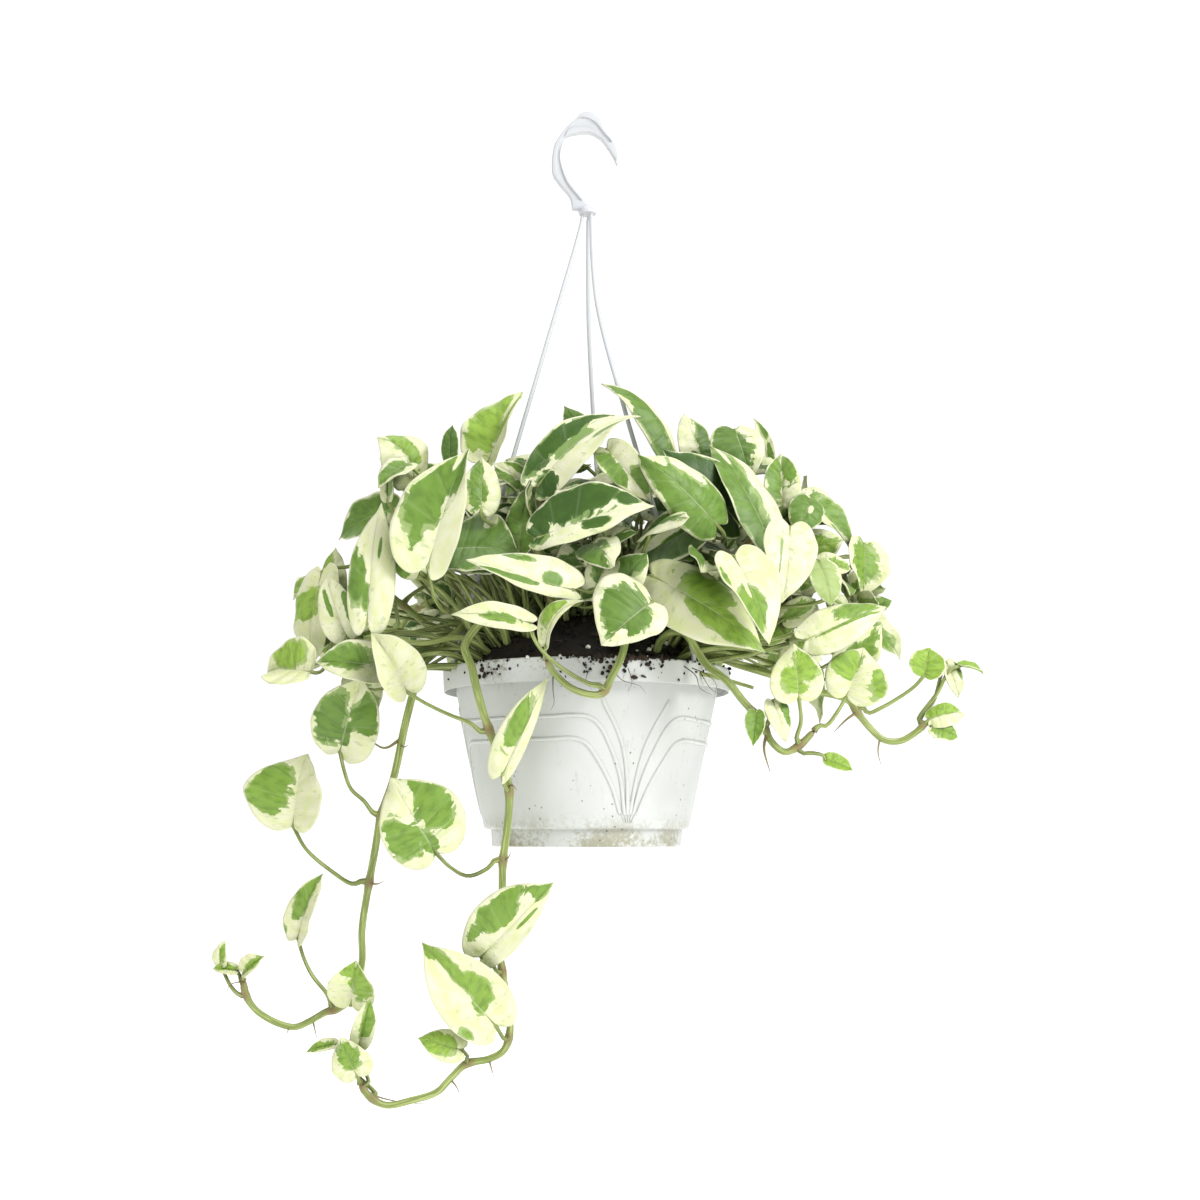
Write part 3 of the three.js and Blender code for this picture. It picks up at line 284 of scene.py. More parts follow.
# The leaves on each stem: the place on the stem where the petiole leaves, the blade's base and
# tip, its width in millimetres, and yaw and pitch, which turn the face from the viewer to the
# right and upwards, in degrees. via is the petiole's way. arch lifts the middle, fold raises both
# halves, in degrees, and bow bends the blade sideways. halves widens or narrows the left and the
# right half, and full rounds them out towards the tip. tone runs from dark to bright green, look
# lists the patches, and edge is the width of the cream margin. A leaf with a name is a piece by
# itself, and the others belong to their stem's piece.
LEAVES = {
    "vine_left_trail": [
        leaf((381, 815, 54), (340, 752, 50), (362, 676, 62), 50, -5, 12, name="left_trail_1", tone=0.4,
            halves=(1, 0.9), via=[(364, 801, 55), (351, 789, 55), (344, 770, 53)],
            look=[green(-0.45, 0.42, 0.52, 0.36), green(0.6, 0.7, 0.6, 0.42),
            green(0.05, 0.25, 0.2, 0.16), cream(0.02, 0.95, 0.22, 0.4)]),
        leaf((369, 883, 54), (293, 826, 46), (306, 753, 40), 47, -22, 10, name="left_trail_2", fold=18,
            tone=0.6, halves=(1.25, 1), full=(0.45, 0), via=[(353, 884, 54), (330, 870, 52),
            (306, 849, 50)], look=[green(-0.6, 0.58, 0.52, 0.5)]),
        leaf((334, 1010, 50), (298, 938, 52), (321, 873, 58), 25, -35, 5, name="left_trail_3", fold=22,
            tone=0.6, via=[(327, 994, 50), (312, 975, 50), (303, 956, 51)],
            look=[green(-0.3, 0.68, 0.5, 0.48), green(-1, 0.02, 0.35, 0.14)]),
        leaf((349, 1000, 51), (351, 1005, 60), (356, 961, 70), 29, -6, 8, name="left_trail_4", fold=16,
            tone=0.8, full=(0.2, 0.3), look=[green(0.45, 0.62, 0.6, 0.46),
            green(-0.3, 0.82, 0.4, 0.18)]),
        leaf((246, 995, 50), (222, 966, 48), (224, 940, 44), 11, -20, 10, fold=30, bow=-0.1, tone=0.8,
            look=[green(0.4, 0.5, 0.5, 0.4)]),
        leaf((243, 981, 50), (244, 973, 52), (264, 956, 54), 14, 20, 45, fold=30, tone=0.85,
            look=[green(0.1, 0.5, 0.5, 0.5)]),
        leaf((243, 982, 50), (237, 971, 49), (212, 968, 48), 10, -10, 40, fold=25, tone=0.85,
            look=[green(0.2, 0.5, 0.6, 0.5)]),
    ],
    "vine_front_trail": [
        leaf((509, 789, 85), (503, 774, 98), (548, 677, 112), 30, 4, 4, name="front_trail_1", fold=16,
            tone=0.6, halves=(1, 0.4), look=[green(-0.32, 0.5, 0.42, 0.28)]),
        leaf((503, 862, 84), (436, 853, 86), (390, 778, 90), 52, -4, 6, name="front_trail_2", tone=0.55,
            full=(0, 0.35), via=[(488, 868, 85), (468, 876, 86), (450, 867, 86)],
            look=[green(-0.5, 0.34, 0.58, 0.27), green(0.5, 0.56, 0.5, 0.4), green(0, 0.14, 0.22, 0.14),
            cream(-0.12, 0.8, 0.34, 0.34)]),
        leaf((502, 972, 84), (481, 957, 95), (553, 883, 104), 37, 5, 5, name="front_trail_3", tone=0.55,
            halves=(1.15, 0.65), full=(0.35, 0), via=[(493, 966, 91)],
            look=[green(-0.58, 0.45, 0.48, 0.38), green(-0.1, 0.88, 0.25, 0.12),
            green(0.32, 0.6, 0.09, 0.15)]),
        leaf((508, 1040, 84), (496, 1026, 94), (422, 943, 104), 43, -3, 6, name="front_trail_4",
            tone=0.7, via=[(505, 1040, 90)], look=[green(0.35, 0.38, 0.34, 0.2),
            green(0.08, 0.25, 0.28, 0.1), green(0.15, 0.62, 0.2, 0.26), green(0.05, 0.92, 0.25, 0.12),
            green(-0.85, 0.12, 0.2, 0.1)]),
        leaf((360, 1084, 84), (357, 1076, 90), (340, 1038, 94), 26, -10, 5, name="front_trail_5",
            fold=16, tone=0.65, look=[green(0.05, 0.52, 0.58, 0.36)]),
        leaf((470, 1063, 84), (462, 1050, 93), (418, 1038, 96), 20, 0, 10, arch=0.08, tone=0.85,
            via=[(468, 1057, 90)], look=[green(0.05, 0.55, 0.75, 0.48)]),
        leaf((361, 1086, 84), (358, 1046, 80), (370, 997, 82), 15, 20, 5, fold=24, tone=0.65,
            via=[(362, 1066, 81)], look=[green(0.25, 0.55, 0.6, 0.44)]),
        leaf((372, 1098, 84), (336, 1044, 74), (305, 1052, 70), 9, 0, 40, fold=20, tone=0.7,
            via=[(350, 1068, 76)], look=[green(0, 0.5, 0.7, 0.5)]),
        leaf((488, 728, 91), (407, 692, 88), (372, 632, 96), 34, 20, 15, name="left_5", fold=26,
            tone=0.4, via=[(470, 723, 93), (450, 715, 91), (425, 703, 88)],
            look=[green(-0.95, 0.72, 0.12, 0.18)]),
    ],
    "vine_front_loop": [
        leaf((603, 691, 115), (530, 623, 134), (451, 613, 144), 19, -4, 22, name="front_2", arch=0.08,
            tone=0.6, halves=(1.1, 0.8), via=[(590, 684, 122), (566, 671, 125), (544, 653, 127),
            (534, 638, 131)], look=[green(-0.1, 0.4, 0.38, 0.26)]),
        leaf((540, 652, 120), (546, 646, 120), (582, 600, 138), 17, -14, 18, name="front_3", arch=0.08,
            bow=-0.16, tone=0.85, halves=(1.1, 0.4), look=[green(-0.5, 0.55, 0.42, 0.4)]),
    ],
    "vine_right_low": [
        leaf((800, 745, 96), (799, 698, 108), (794, 644, 114), 34, -4, 8, name="right_5", tone=0.85,
            via=[(801, 722, 102)], look=[green(0.42, 0.62, 0.56, 0.38), green(-0.2, 0.36, 0.44, 0.26),
            green(0.12, 0.2, 0.25, 0.14)]),
        leaf((820, 728, 96), (846, 697, 92), (864, 647, 92), 38, 8, 8, name="right_6", fold=26,
            tone=0.8, halves=(0.95, 1.05), full=(0.25, 0.25), via=[(826, 726, 96), (838, 711, 95)],
            look=[green(-0.45, 0.6, 0.52, 0.38), green(0.85, 0.56, 0.42, 0.44)]),
        leaf((755, 714, 96), (756, 712, 106), (753, 746, 110), 13, 0, 10, tone=0.55, look=[ALL_OVER]),
        leaf((764, 726, 96), (773, 701, 104), (787, 742, 108), 16, 10, 10, tone=0.5,
            look=[green(-0.7, 0.3, 0.4, 0.34)]),
        leaf((797, 747, 96), (825, 760, 98), (854, 771, 94), 12, 10, 30, fold=16, tone=0.95,
            via=[(812, 753, 98), (824, 756, 98)], look=[ALL_OVER]),
    ],
    "vine_right_runner": [
        leaf((857, 712, 66), (924, 676, 68), (930, 647, 62), 24, 0, 5, name="right_7", fold=24,
            tone=0.95, via=[(868, 713, 67), (881, 708, 68), (900, 697, 68), (915, 686, 68)],
            look=[ALL_OVER]),
        leaf((925, 725, 66), (946, 662, 54), (959, 698, 58), 14, 20, 20, tone=0.4, via=[(934, 700, 60),
            (941, 675, 56)], look=[green(-0.8, 0.4, 0.2, 0.4)]),
        leaf((926, 724, 66), (930, 719, 68), (966, 714, 62), 17, 0, 25, arch=0.18, tone=0.85,
            look=[green(-0.5, 0.4, 0.6, 0.55)]),
        leaf((926, 723, 66), (932, 727, 70), (958, 737, 74), 18, 20, 25, tone=0.7,
            look=[green(0, 0.5, 0.8, 0.55)]),
        leaf((926, 724, 66), (960, 666, 56), (984, 673, 50), 10, 0, 62, fold=20, tone=0.85,
            via=[(938, 692, 61), (950, 670, 58)], look=[ALL_OVER]),
    ],
    "vine_left_high": [
        leaf((421, 515, 42), (397, 508, 34), (337, 538, 22), 32, -20, 35, name="left_6", arch=0.08,
            fold=8, edge=0.08, tone=0.4, halves=(1.6, 1), look=[ALL_OVER, cream(0.75, 0.85, 0.3, 0.2)]),
        leaf((414, 494, 38), (414, 476, 46), (378, 436, 52), 38, 12, 20, name="left_7", arch=0.12,
            bow=0.12, tone=0.75, look=[green(0.25, 0.55, 0.34, 0.5)]),
        leaf((425, 530, 46), (388, 500, 58), (391, 468, 52), 11, -30, 5, fold=24, tone=0.4,
            look=[pale(0.3, 0.5, 0.6, 0.5)]),
        leaf((434, 555, 47), (420, 570, 72), (388, 511, 68), 26, 12, 8, name="left_8", tone=0.6,
            halves=(1.2, 1), look=[green(-0.65, 0.45, 0.5, 0.5), green(0.4, 0.8, 0.2, 0.2)]),
        leaf((452, 595, 38), (428, 567, 100), (468, 447, 108), 50, -8, 12, name="left_9", fold=8,
            edge=0.07, tone=0.45, halves=(1.22, 0.62), via=[(446, 612, 66), (434, 596, 90)],
            look=[green(-0.5, 0.62, 0.56, 0.42), green(0.05, 0.78, 0.4, 0.26),
            green(-0.45, 0.26, 0.13, 0.16), cream(-0.1, 0.93, 0.07, 0.16, -8)]),
        leaf((422, 516, 36), (488, 462, 34), (522, 390, 28), 48, -25, 5, name="left_10", fold=16,
            tone=0.85, halves=(1, 0.4), via=[(452, 480, 34), (474, 476, 32)],
            look=[green(-0.42, 0.5, 0.56, 0.48), green(0.1, 0.6, 0.2, 0.4),
            cream(-0.05, 0.75, 0.05, 0.25)]),
        leaf((428, 534, 35), (450, 460, 56), (452, 424, 50), 13, -20, 10, tone=0.15, look=[ALL_OVER]),
    ],
    "vine_left_mid": [
        leaf((360, 563, 45), (322, 572, 42), (310, 664, 54), 38, -35, 15, name="left_3", tone=0.85,
            look=[green(0.35, 0.36, 0.8, 0.2)]),
        leaf((378, 583, 46), (332, 612, 34), (334, 546, 22), 24, -20, 20, tone=0.75,
            look=[green(-0.45, 0.72, 0.5, 0.28), green(0.3, 0.4, 0.2, 0.12)]),
        leaf((402, 605, 42), (367, 624, 92), (380, 501, 84), 31, -6, 6, name="left_4", fold=16,
            tone=0.4, via=[(396, 628, 70), (380, 630, 86)], look=[green(-0.55, 0.33, 0.38, 0.2),
            green(-0.8, 0.55, 0.16, 0.14), green(-0.12, 0.2, 0.16, 0.12), green(0.3, 0.6, 0.08, 0.1)]),
        leaf((404, 606, 22), at(-98, 8, -318), at(-140, 20, -304), 40, -60, 50, arch=0.08, fold=8),
    ],
    "vine_left_low": [
        leaf((334, 640, 51), (311, 672, 80), (266, 671, 60), 38, -25, 30, name="left_1", arch=0.08,
            fold=24, tone=0.95, look=[green(0.5, 0.46, 0.5, 0.38)]),
        leaf((405, 655, 52), (390, 668, 84), (314, 661, 84), 30, -6, 20, name="left_2", tone=0.5,
            look=[green(0.22, 0.6, 0.62, 0.38)]),
        leaf((352, 640, 55), (346, 636, 80), (326, 574, 76), 27, -20, 8, fold=16, tone=0.4,
            look=[green(0.7, 0.3, 0.25, 0.28), green(-0.3, 0.55, 0.14, 0.25)]),
    ],
    "vine_centre_left": [
        leaf((535, 530, 61), (481, 510, 82), (482, 456, 76), 26, 12, 10, tone=0.5,
            look=[green(-0.3, 0.5, 0.42, 0.55), green(0.12, 0.28, 0.2, 0.16)]),
        leaf((537, 545, 62), (519, 548, 74), (528, 484, 66), 22, 0, 10, tone=0.42, look=[ALL_OVER,
            cream(-0.85, 0.75, 0.3, 0.16)]),
        leaf((540, 560, 62), (452, 549, 78), (520, 552, 86), 44, -10, 40, fold=6, edge=0.06, tone=0.3,
            halves=(1.5, 1), look=[ALL_OVER, cream(-0.8, 0.5, 0.28, 0.12)]),
        leaf((538, 500, 53), (530, 488, 62), (492, 462, 62), 17, 0, 20, tone=0.5,
            look=[green(-0.6, 0.5, 0.45, 0.52), green(0.75, 0.5, 0.35, 0.42)]),
        leaf((544, 491, 49), (536, 464, 40), (505, 459, 36), 16, 0, 40, tone=0.2,
            look=[green(-0.3, 0.4, 0.5, 0.3)]),
        leaf((540, 497, 51), (538, 486, 78), (640, 412, 60), 38, -8, 30, name="centre_1", arch=0.1,
            fold=6, bow=-0.04, tone=0.02, look=[green(-0.78, 0.34, 0.5, 0.48),
            green(-0.75, 0.82, 0.38, 0.26), green(0.3, 0.04, 0.5, 0.1), pale(-0.12, 0.42, 0.2, 0.2),
            pale(0.35, 0.66, 0.12, 0.16)]),
        leaf((545, 490, 48), (588, 444, 30), (564, 405, 26), 19, 0, 15, tone=0.2, look=[ALL_OVER]),
        leaf((536, 535, 61), (538, 538, 108), (654, 503, 120), 40, -4, 26, name="centre_2", fold=6,
            edge=0.03, tone=0.02, halves=(1.3, 0.6), via=[(550, 540, 84)],
            look=[green(-0.85, 0.36, 0.78, 0.52), green(0, 0, 0.5, 0.12), green(0.35, 0.52, 0.3, 0.13),
            green(-0.3, 0.82, 0.2, 0.1)]),
        leaf((545, 575, 59), (597, 586, 92), (613, 547, 96), 20, 0, 12, tone=0.3,
            look=[green(0, 0.5, 0.75, 0.5)]),
        leaf((550, 595, 54), (573, 590, 124), (467, 557, 138), 26, -4, 24, name="front_1", bow=-0.05,
            tone=0.4, halves=(0.62, 1.4), look=[green(-0.35, 0.62, 0.26, 0.34),
            green(0.15, 0.22, 0.3, 0.1), green(0.72, 0.6, 0.16, 0.24)]),
        leaf((545, 580, 58), at(-38, -12, -292), at(-66, -4, -252), 40, -20, 35, arch=0.08, fold=8),
    ],
    "vine_centre_right": [
        leaf((686, 490, 31), (607, 449, 82), (652, 502, 100), 26, -12, 14, name="centre_3", tone=0.5,
            via=[(640, 480, 60), (610, 470, 72)], look=[green(0.45, 0.33, 0.44, 0.36),
            green(-0.4, 0.7, 0.45, 0.22)]),
        leaf((678, 515, 42), (716, 524, 92), (640, 453, 108), 46, 4, 18, name="centre_4", fold=6,
            edge=0.1, tone=0.42, halves=(0.75, 1), via=[(718, 538, 58), (724, 534, 82)], look=[ALL_OVER,
            cream(0.8, 0.66, 0.4, 0.34), cream(0.3, 0.86, 0.2, 0.14)]),
        leaf((684, 500, 36), (738, 524, 64), (664, 447, 76), 42, 6, 22, name="centre_5", fold=8,
            edge=0.03, tone=0, via=[(712, 520, 46), (732, 534, 56)], look=[ALL_OVER]),
        leaf((690, 481, 27), (674, 452, 38), (602, 381, 34), 32, 8, 24, name="centre_6", arch=0.1,
            bow=0.1, tone=0.35, halves=(1, 0.3), look=[green(-0.4, 0.25, 0.5, 0.36),
            green(-0.2, 0.66, 0.3, 0.3)]),
        leaf((696, 470, 20), (700, 464, 24), (684, 412, 20), 26, 15, 20, name="centre_7", arch=0.08,
            tone=0.25, look=[green(0.6, 0.38, 0.52, 0.45), green(-0.2, 0.1, 0.3, 0.14)]),
        leaf((664, 545, 49), (700, 524, 62), (628, 570, 74), 32, 10, 22, fold=8, tone=0.15,
            full=(0.2, 0.2), look=[ALL_OVER, cream(0.3, 0.5, 0.17, 0.4, 14)]),
        leaf((634, 612, 45), (652, 602, 132), (602, 644, 148), 40, 4, 16, name="front_4", fold=8,
            edge=0.2, tone=0.32, halves=(0.9, 1.6), via=[(648, 616, 84), (658, 613, 118)],
            look=[green(0.1, 0.45, 0.78, 0.42), cream(-0.25, 0.76, 0.2, 0.12)]),
        leaf((640, 575, 36), at(30, 0, -284), at(14, 4, -238), 40, 10, 35, arch=0.08, fold=8),
    ],
    "vine_right_high": [
        leaf((700, 612, 61), (652, 576, 98), (766, 649, 124), 44, -4, 24, name="front_5", fold=8,
            tone=0.8, full=(0.1, 0.2), look=[green(-0.48, 0.38, 0.45, 0.23),
            green(0.12, 0.68, 0.36, 0.36), pale(-0.15, 0.3, 0.2, 0.1)]),
        leaf((724, 578, 66), (734, 557, 122), (771, 642, 150), 38, 16, 24, name="front_6", tone=0.6,
            look=[green(0.2, 0.62, 0.5, 0.26), green(0.85, 0.28, 0.1, 0.14),
            cream(0.2, 0.44, 0.1, 0.1)]),
        leaf((746, 546, 66), (735, 430, 42), (751, 481, 58), 33, 4, 10, name="right_1", fold=8,
            tone=0.25, halves=(1, 1.2), via=[(734, 510, 30), (727, 450, 28)],
            look=[green(0.42, 0.42, 0.9, 0.58)]),
        leaf((752, 540, 63), (770, 541, 78), (711, 441, 64), 32, 20, 16, name="right_2", tone=0.4,
            look=[green(-0.35, 0.42, 0.75, 0.66), cream(0.1, 0.86, 0.1, 0.14)]),
        leaf((768, 525, 56), (768, 466, 22), (754, 416, 14), 11, 20, 10, fold=24, tone=0.4,
            look=[green(0.5, 0.75, 0.4, 0.25), green(0.5, 0.2, 0.3, 0.2)]),
        leaf((767, 526, 57), (782, 505, 58), (781, 452, 48), 25, 0, 10, fold=34, tone=0.5,
            look=[green(-0.45, 0.5, 0.5, 0.52), green(0.45, 0.66, 0.45, 0.35)]),
        leaf((730, 570, 66), (790, 527, 98), (783, 602, 112), 36, 12, 14, name="right_3", tone=0.3,
            via=[(764, 552, 84), (784, 532, 92)], look=[pale(0.3, 0.4, 0.05, 0.3)]),
    ],
    "vine_right_mid": [
        leaf((812, 590, 44), (810, 500, 64), (798, 535, 78), 24, 20, 35, tone=0.35, look=[ALL_OVER,
            cream(-0.2, 0.3, 0.15, 0.12)]),
        leaf((830, 580, 42), (806, 498, 36), (857, 557, 40), 28, 25, 40, tone=0.5,
            look=[green(-0.5, 0.45, 0.5, 0.48), green(0.35, 0.72, 0.3, 0.22)]),
        leaf((790, 602, 40), (819, 562, 84), (832, 606, 92), 25, 20, 20, tone=0.9,
            look=[pale(0, 0.4, 0.9, 0.6)]),
        leaf((846, 572, 38), (864, 544, 36), (862, 598, 46), 33, 30, 14, tone=0.6,
            look=[green(0.1, 0.36, 0.68, 0.44)]),
        leaf((776, 610, 36), (806, 640, 100), (887, 605, 92), 30, 12, 22, name="right_4", tone=0.6,
            via=[(788, 636, 70)], look=[green(-0.4, 0.7, 0.42, 0.28), green(0.1, 0.5, 0.07, 0.42)]),
        leaf((838, 576, 40), (864, 620, 50), (902, 659, 48), 22, 35, 12, tone=0.55,
            look=[green(0.25, 0.36, 0.75, 0.42)]),
        leaf((845, 573, 39), (869, 610, 30), (892, 600, 24), 14, 30, 35, tone=0.5,
            look=[green(0, 0.5, 0.8, 0.55)]),
        leaf((776, 610, 36), at(88, 8, -316), at(130, 14, -296), 42, 50, 50, arch=0.08, fold=8),
    ],
    "vine_back_left": [
        leaf(at(-50, 50, -376), at(-46, 28, -312), at(-88, 26, -274), 44, -50, 45, arch=0.08, fold=8),
        leaf(at(-76, 74, -352), at(-70, 60, -300), at(-112, 74, -262), 44, -140, 35),
        leaf(at(-100, 92, -336), at(-116, 90, -300), at(-160, 112, -290), 42, -130, 40, arch=0.08),
        leaf(at(-130, 106, -342), at(-142, 124, -340), at(-152, 142, -400), 44, -140, 15),
        leaf(at(-150, 104, -372), at(-160, 96, -384), at(-176, 92, -436), 36, -110, 10),
        leaf(at(-60, 60, -366), at(-84, 112, -356), at(-96, 140, -404), 46, -155, 20),
    ],
    "vine_back": [
        leaf(at(-8, 66, -356), at(-14, 34, -300), at(8, 34, -252), 42, -10, 45, arch=0.08, fold=8),
        leaf(at(-8, 70, -350), at(-30, 66, -282), at(-22, 90, -232), 42, -175, 30),
        leaf(at(-12, 100, -325), at(-30, 116, -282), at(-52, 150, -308), 48, -165, 40, arch=0.08,
            fold=8),
        leaf(at(-14, 120, -314), at(14, 124, -284), at(44, 154, -306), 46, 165, 40, arch=0.08, fold=8),
        leaf(at(-8, 156, -345), at(-20, 172, -350), at(-30, 178, -410), 44, -172, 10),
        leaf(at(-3, 162, -380), at(12, 174, -388), at(22, 176, -448), 40, 170, 8),
    ],
    "vine_back_right": [
        leaf(at(50, 42, -378), at(54, 26, -312), at(88, 20, -270), 44, 40, 45, arch=0.08, fold=8),
        leaf(at(66, 56, -358), at(64, 64, -296), at(92, 80, -250), 42, 150, 30),
        leaf(at(95, 80, -335), at(112, 88, -296), at(158, 104, -300), 46, 135, 40, arch=0.08),
        leaf(at(125, 96, -335), at(140, 116, -338), at(150, 136, -396), 44, 140, 15),
        leaf(at(152, 96, -370), at(164, 88, -382), at(178, 82, -432), 36, 110, 10),
        leaf(at(54, 46, -372), at(82, 108, -352), at(92, 138, -402), 46, 155, 20),
    ],
}

# Heaps of bits spilled on the rim: the soil's material (0 peat, 1 perlite, 2 bark), the bearing of
# the heap's middle, its spread in degrees, the smallest and largest bit, and how many.
RIM_SPILLS = [
    (0, 4, 10, 0.3, 1.1, 130), (0, 24, 13, 0.3, 1.2, 110), (2, 19, 7, 0.6, 2.4, 26),
    (2, 8, 9, 0.4, 1.3, 30), (1, -14, 7, 0.5, 1.4, 8), (0, -38, 16, 0.3, 1.2, 40),
    (0, 52, 12, 0.3, 1.3, 50), (1, 16, 26, 0.4, 1.2, 14), (2, -42, 10, 0.5, 1.8, 10),
    (0, 180, 120, 0.3, 1.4, 70),
]

# Dry roots that hang over the rim, as seen from in front, and their radius at the root.
ROOT_WISPS = [
    ([(553, 672, 99), (553, 690, 103), (554, 703, 103), (551, 710, 104)], 0.45),
    ([(612, 668, 100), (622, 680, 103), (640, 686, 103), (646, 694, 103)], 0.35),
    ([(628, 668, 100), (632, 682, 103), (628, 692, 103)], 0.3),
    ([(684, 666, 90), (696, 676, 93), (700, 688, 93), (712, 695, 90)], 0.45),
    ([(692, 668, 86), (706, 674, 90), (716, 684, 88), (714, 698, 88)], 0.4),
    ([(700, 672, 84), (712, 690, 86), (724, 696, 84)], 0.35),
    ([(590, 668, 101), (586, 680, 104), (592, 690, 104)], 0.25),
]

# Root nubs and cut stubs on the stems: their points as seen from in front, and their radius.
STEM_NUBS = {
    "vine_left_trail": [
        ([(400, 744, 54), (404, 747, 60), (409, 745, 64)], 0.9),
        ([(369, 883, 54), (377, 884, 57), (384, 881, 59)], 1.0),
        ([(313, 1021, 50), (315, 1030, 53), (317, 1039, 54)], 0.7),
        ([(288, 1025, 50), (288, 1031, 53), (286, 1035, 53)], 0.7),
        ([(243, 981, 50), (230, 985, 51), (226, 994, 52)], 0.5),
        ([(402, 738, 54), (384, 748, 58), (363, 733, 58)], 1.2),
    ],
    "vine_front_trail": [
        ([(508, 788, 85), (512, 785, 90), (517, 790, 93)], 0.9),
        ([(503, 862, 84), (508, 858, 88), (511, 852, 89)], 0.9),
        ([(489, 1059, 84), (491, 1067, 87), (494, 1077, 88)], 0.8),
        ([(450, 1079, 84), (456, 1086, 87), (460, 1095, 88)], 0.8),
        ([(364, 1090, 84), (376, 1096, 80), (400, 1102, 78), (430, 1104, 78)], 0.6),
    ],
    "vine_right_low": [
        ([(768, 730, 96), (764, 748, 99), (770, 772, 99)], 1.4),
    ],
    "vine_right_runner": [
        ([(857, 712, 66), (846, 720, 69), (834, 732, 69)], 1.1),
        ([(880, 738, 66), (878, 752, 69), (881, 765, 69)], 0.8),
    ],
}

# Bare stalks that fan out over the soil: where they root, the window that they end in as seen from
# in front (left, top, right and bottom), how much nearer than the pot's axis, and how many.
STALK_FANS = [
    (at(-60, -40, -404), (358, 584, 384, 684), (56, 86), 6),
    (at(-54, -36, -402), (392, 556, 440, 590), (48, 86), 5),
    (at(-42, -34, -396), (440, 548, 480, 580), (34, 64), 4),
    (at(-24, -34, -391), (484, 548, 520, 572), (34, 52), 2),
    (at(58, -48, -404), (750, 600, 796, 690), (50, 90), 6),
]

# How far a strand strays sideways, in millimetres, at a share of its length.
STRAND_BOWS = {
    "hanger_strand_left": [(0.3, 0), (0.6, -0.6)],
    "hanger_strand_right": [(0.2, -10), (0.45, -8), (0.7, -3)],
    "hanger_strand_back": [(0.2, -3.4), (0.5, -3.4), (0.72, -1.6)],
}
WEB_STRETCH = (0.06, 0.88)
POCKET_INSET = 0.28
HOOK_STEP = 0.8
HOOK_SPANS = 119

# How finely the pieces are meshed, and the plant's small shapes.
POT_SEGMENTS = 192
SOIL_SEGMENTS = 132
SOIL_RINGS = 40
BARK_COUNT = 26
STEM_STEP = 2.5
STEM_SIDES = 12
PETIOLE_STEP = 3
FILLER_STEP = 6
PETIOLE_SIDES = 8
ROOT_STEP = 1.5
ROOT_SIDES = 6
NODE_REACH = 4
NODE_SWELL = 0.28
PETIOLE_LEAD = 5
PETIOLE_SWELLS = (0.9, 0.25)
BLADE_THICKNESS = 0.5
MARGIN_WAVE = 0.06
MIDRIB_SINK = 0.5
CREAM_EDGE = 0.05
EDGE_SLOPE = 5
TIP_DROOP = 0.05
DROOP_START = 0.6

# The mound that the filling leaves stand in.
MOUND_CENTRE = at(12, 4, -362)
MOUND_RADII = (180, 150, 112)
FILLER_TRIES = 6000
FILLER_CLEARANCE = 5.5
# Windows that smaller leaves fill: left, top, right and bottom as seen from in front, how much
# nearer than the pot's axis they lie, how dark and bright they are, and how many there are.
GAP_FILLS = [
    ((776, 545, 876, 652), (-20, 70), (0.45, 0.9), 30),
    ((776, 492, 826, 560), (-20, 60), (0.3, 0.8), 8),
    ((690, 452, 780, 520), (-30, 50), (0.2, 0.6), 8),
    ((306, 566, 384, 690), (-10, 56), (0.5, 0.9), 12),
    ((500, 490, 640, 606), (0, 96), (0, 0.4), 24),
    ((640, 500, 730, 590), (0, 64), (0, 0.4), 10),
    ((380, 450, 520, 560), (-20, 70), (0.15, 0.5), 14),
    # The two windows behind the pot's axis take dark leaves, as painted shade in the gaps between the
    # stalks.
    ((420, 560, 560, 640), (-110, -40), (0, 0.2), 16),
    ((700, 600, 780, 680), (-100, -30), (0, 0.3), 8),
]
GAP_CLEARANCE = 3
GAP_TRIES = 60
# Where the stalks and the soil stay in view, as seen from in front: left, top, right and bottom.
# What lies further behind the pot's axis than the depth doesn't hide them.
OPEN_VIEWS = [(384, 574, 470, 700), (460, 575, 560, 700), (540, 606, 700, 700), (660, 640, 760, 700)]
OPEN_DEPTH = 30
FILLER_GROUPS = 6


def linear(colour):
    """An sRGB hex colour as linear red, green and blue."""
    shares = [int(colour[i : i + 2], 16) / 255 for i in (1, 3, 5)]
    return tuple(c / 12.92 if c <= 0.04045 else ((c + 0.055) / 1.055) ** 2.4 for c in shares)


def unit(vectors):
    """Vectors brought to length 1."""
    length = np.linalg.norm(vectors, axis=-1, keepdims=True)
    return vectors / np.maximum(length, 1e-9)


def outward(bearing):
    """A direction out from the pot's axis. The bearing is measured from the viewer to the right."""
    angle = math.radians(bearing)
    return at(math.sin(angle), -math.cos(angle), 0)


def lengths_along(points):
    """How far along a line each of its points lies."""
    return np.concatenate([[0], np.cumsum(np.linalg.norm(np.diff(points, axis=0), axis=1))])


def respaced(points, step):
    """The same line with points an even step apart."""
    lengths = lengths_along(points)
    count = max(2, round(lengths[-1] / step) + 1)
    wanted = np.linspace(0, lengths[-1], count)
    return np.stack([np.interp(wanted, lengths, points[:, i]) for i in range(3)], axis=1)


def hermite(start, leave, arrive, end, t):
    """Places between two points, from the directions in which the line leaves and arrives."""
    turn_out = (3 * (end - start) - 2 * leave - arrive) * t**2
    turn_in = (2 * (start - end) + leave + arrive) * t**3
    return start + leave * t + turn_out + turn_in


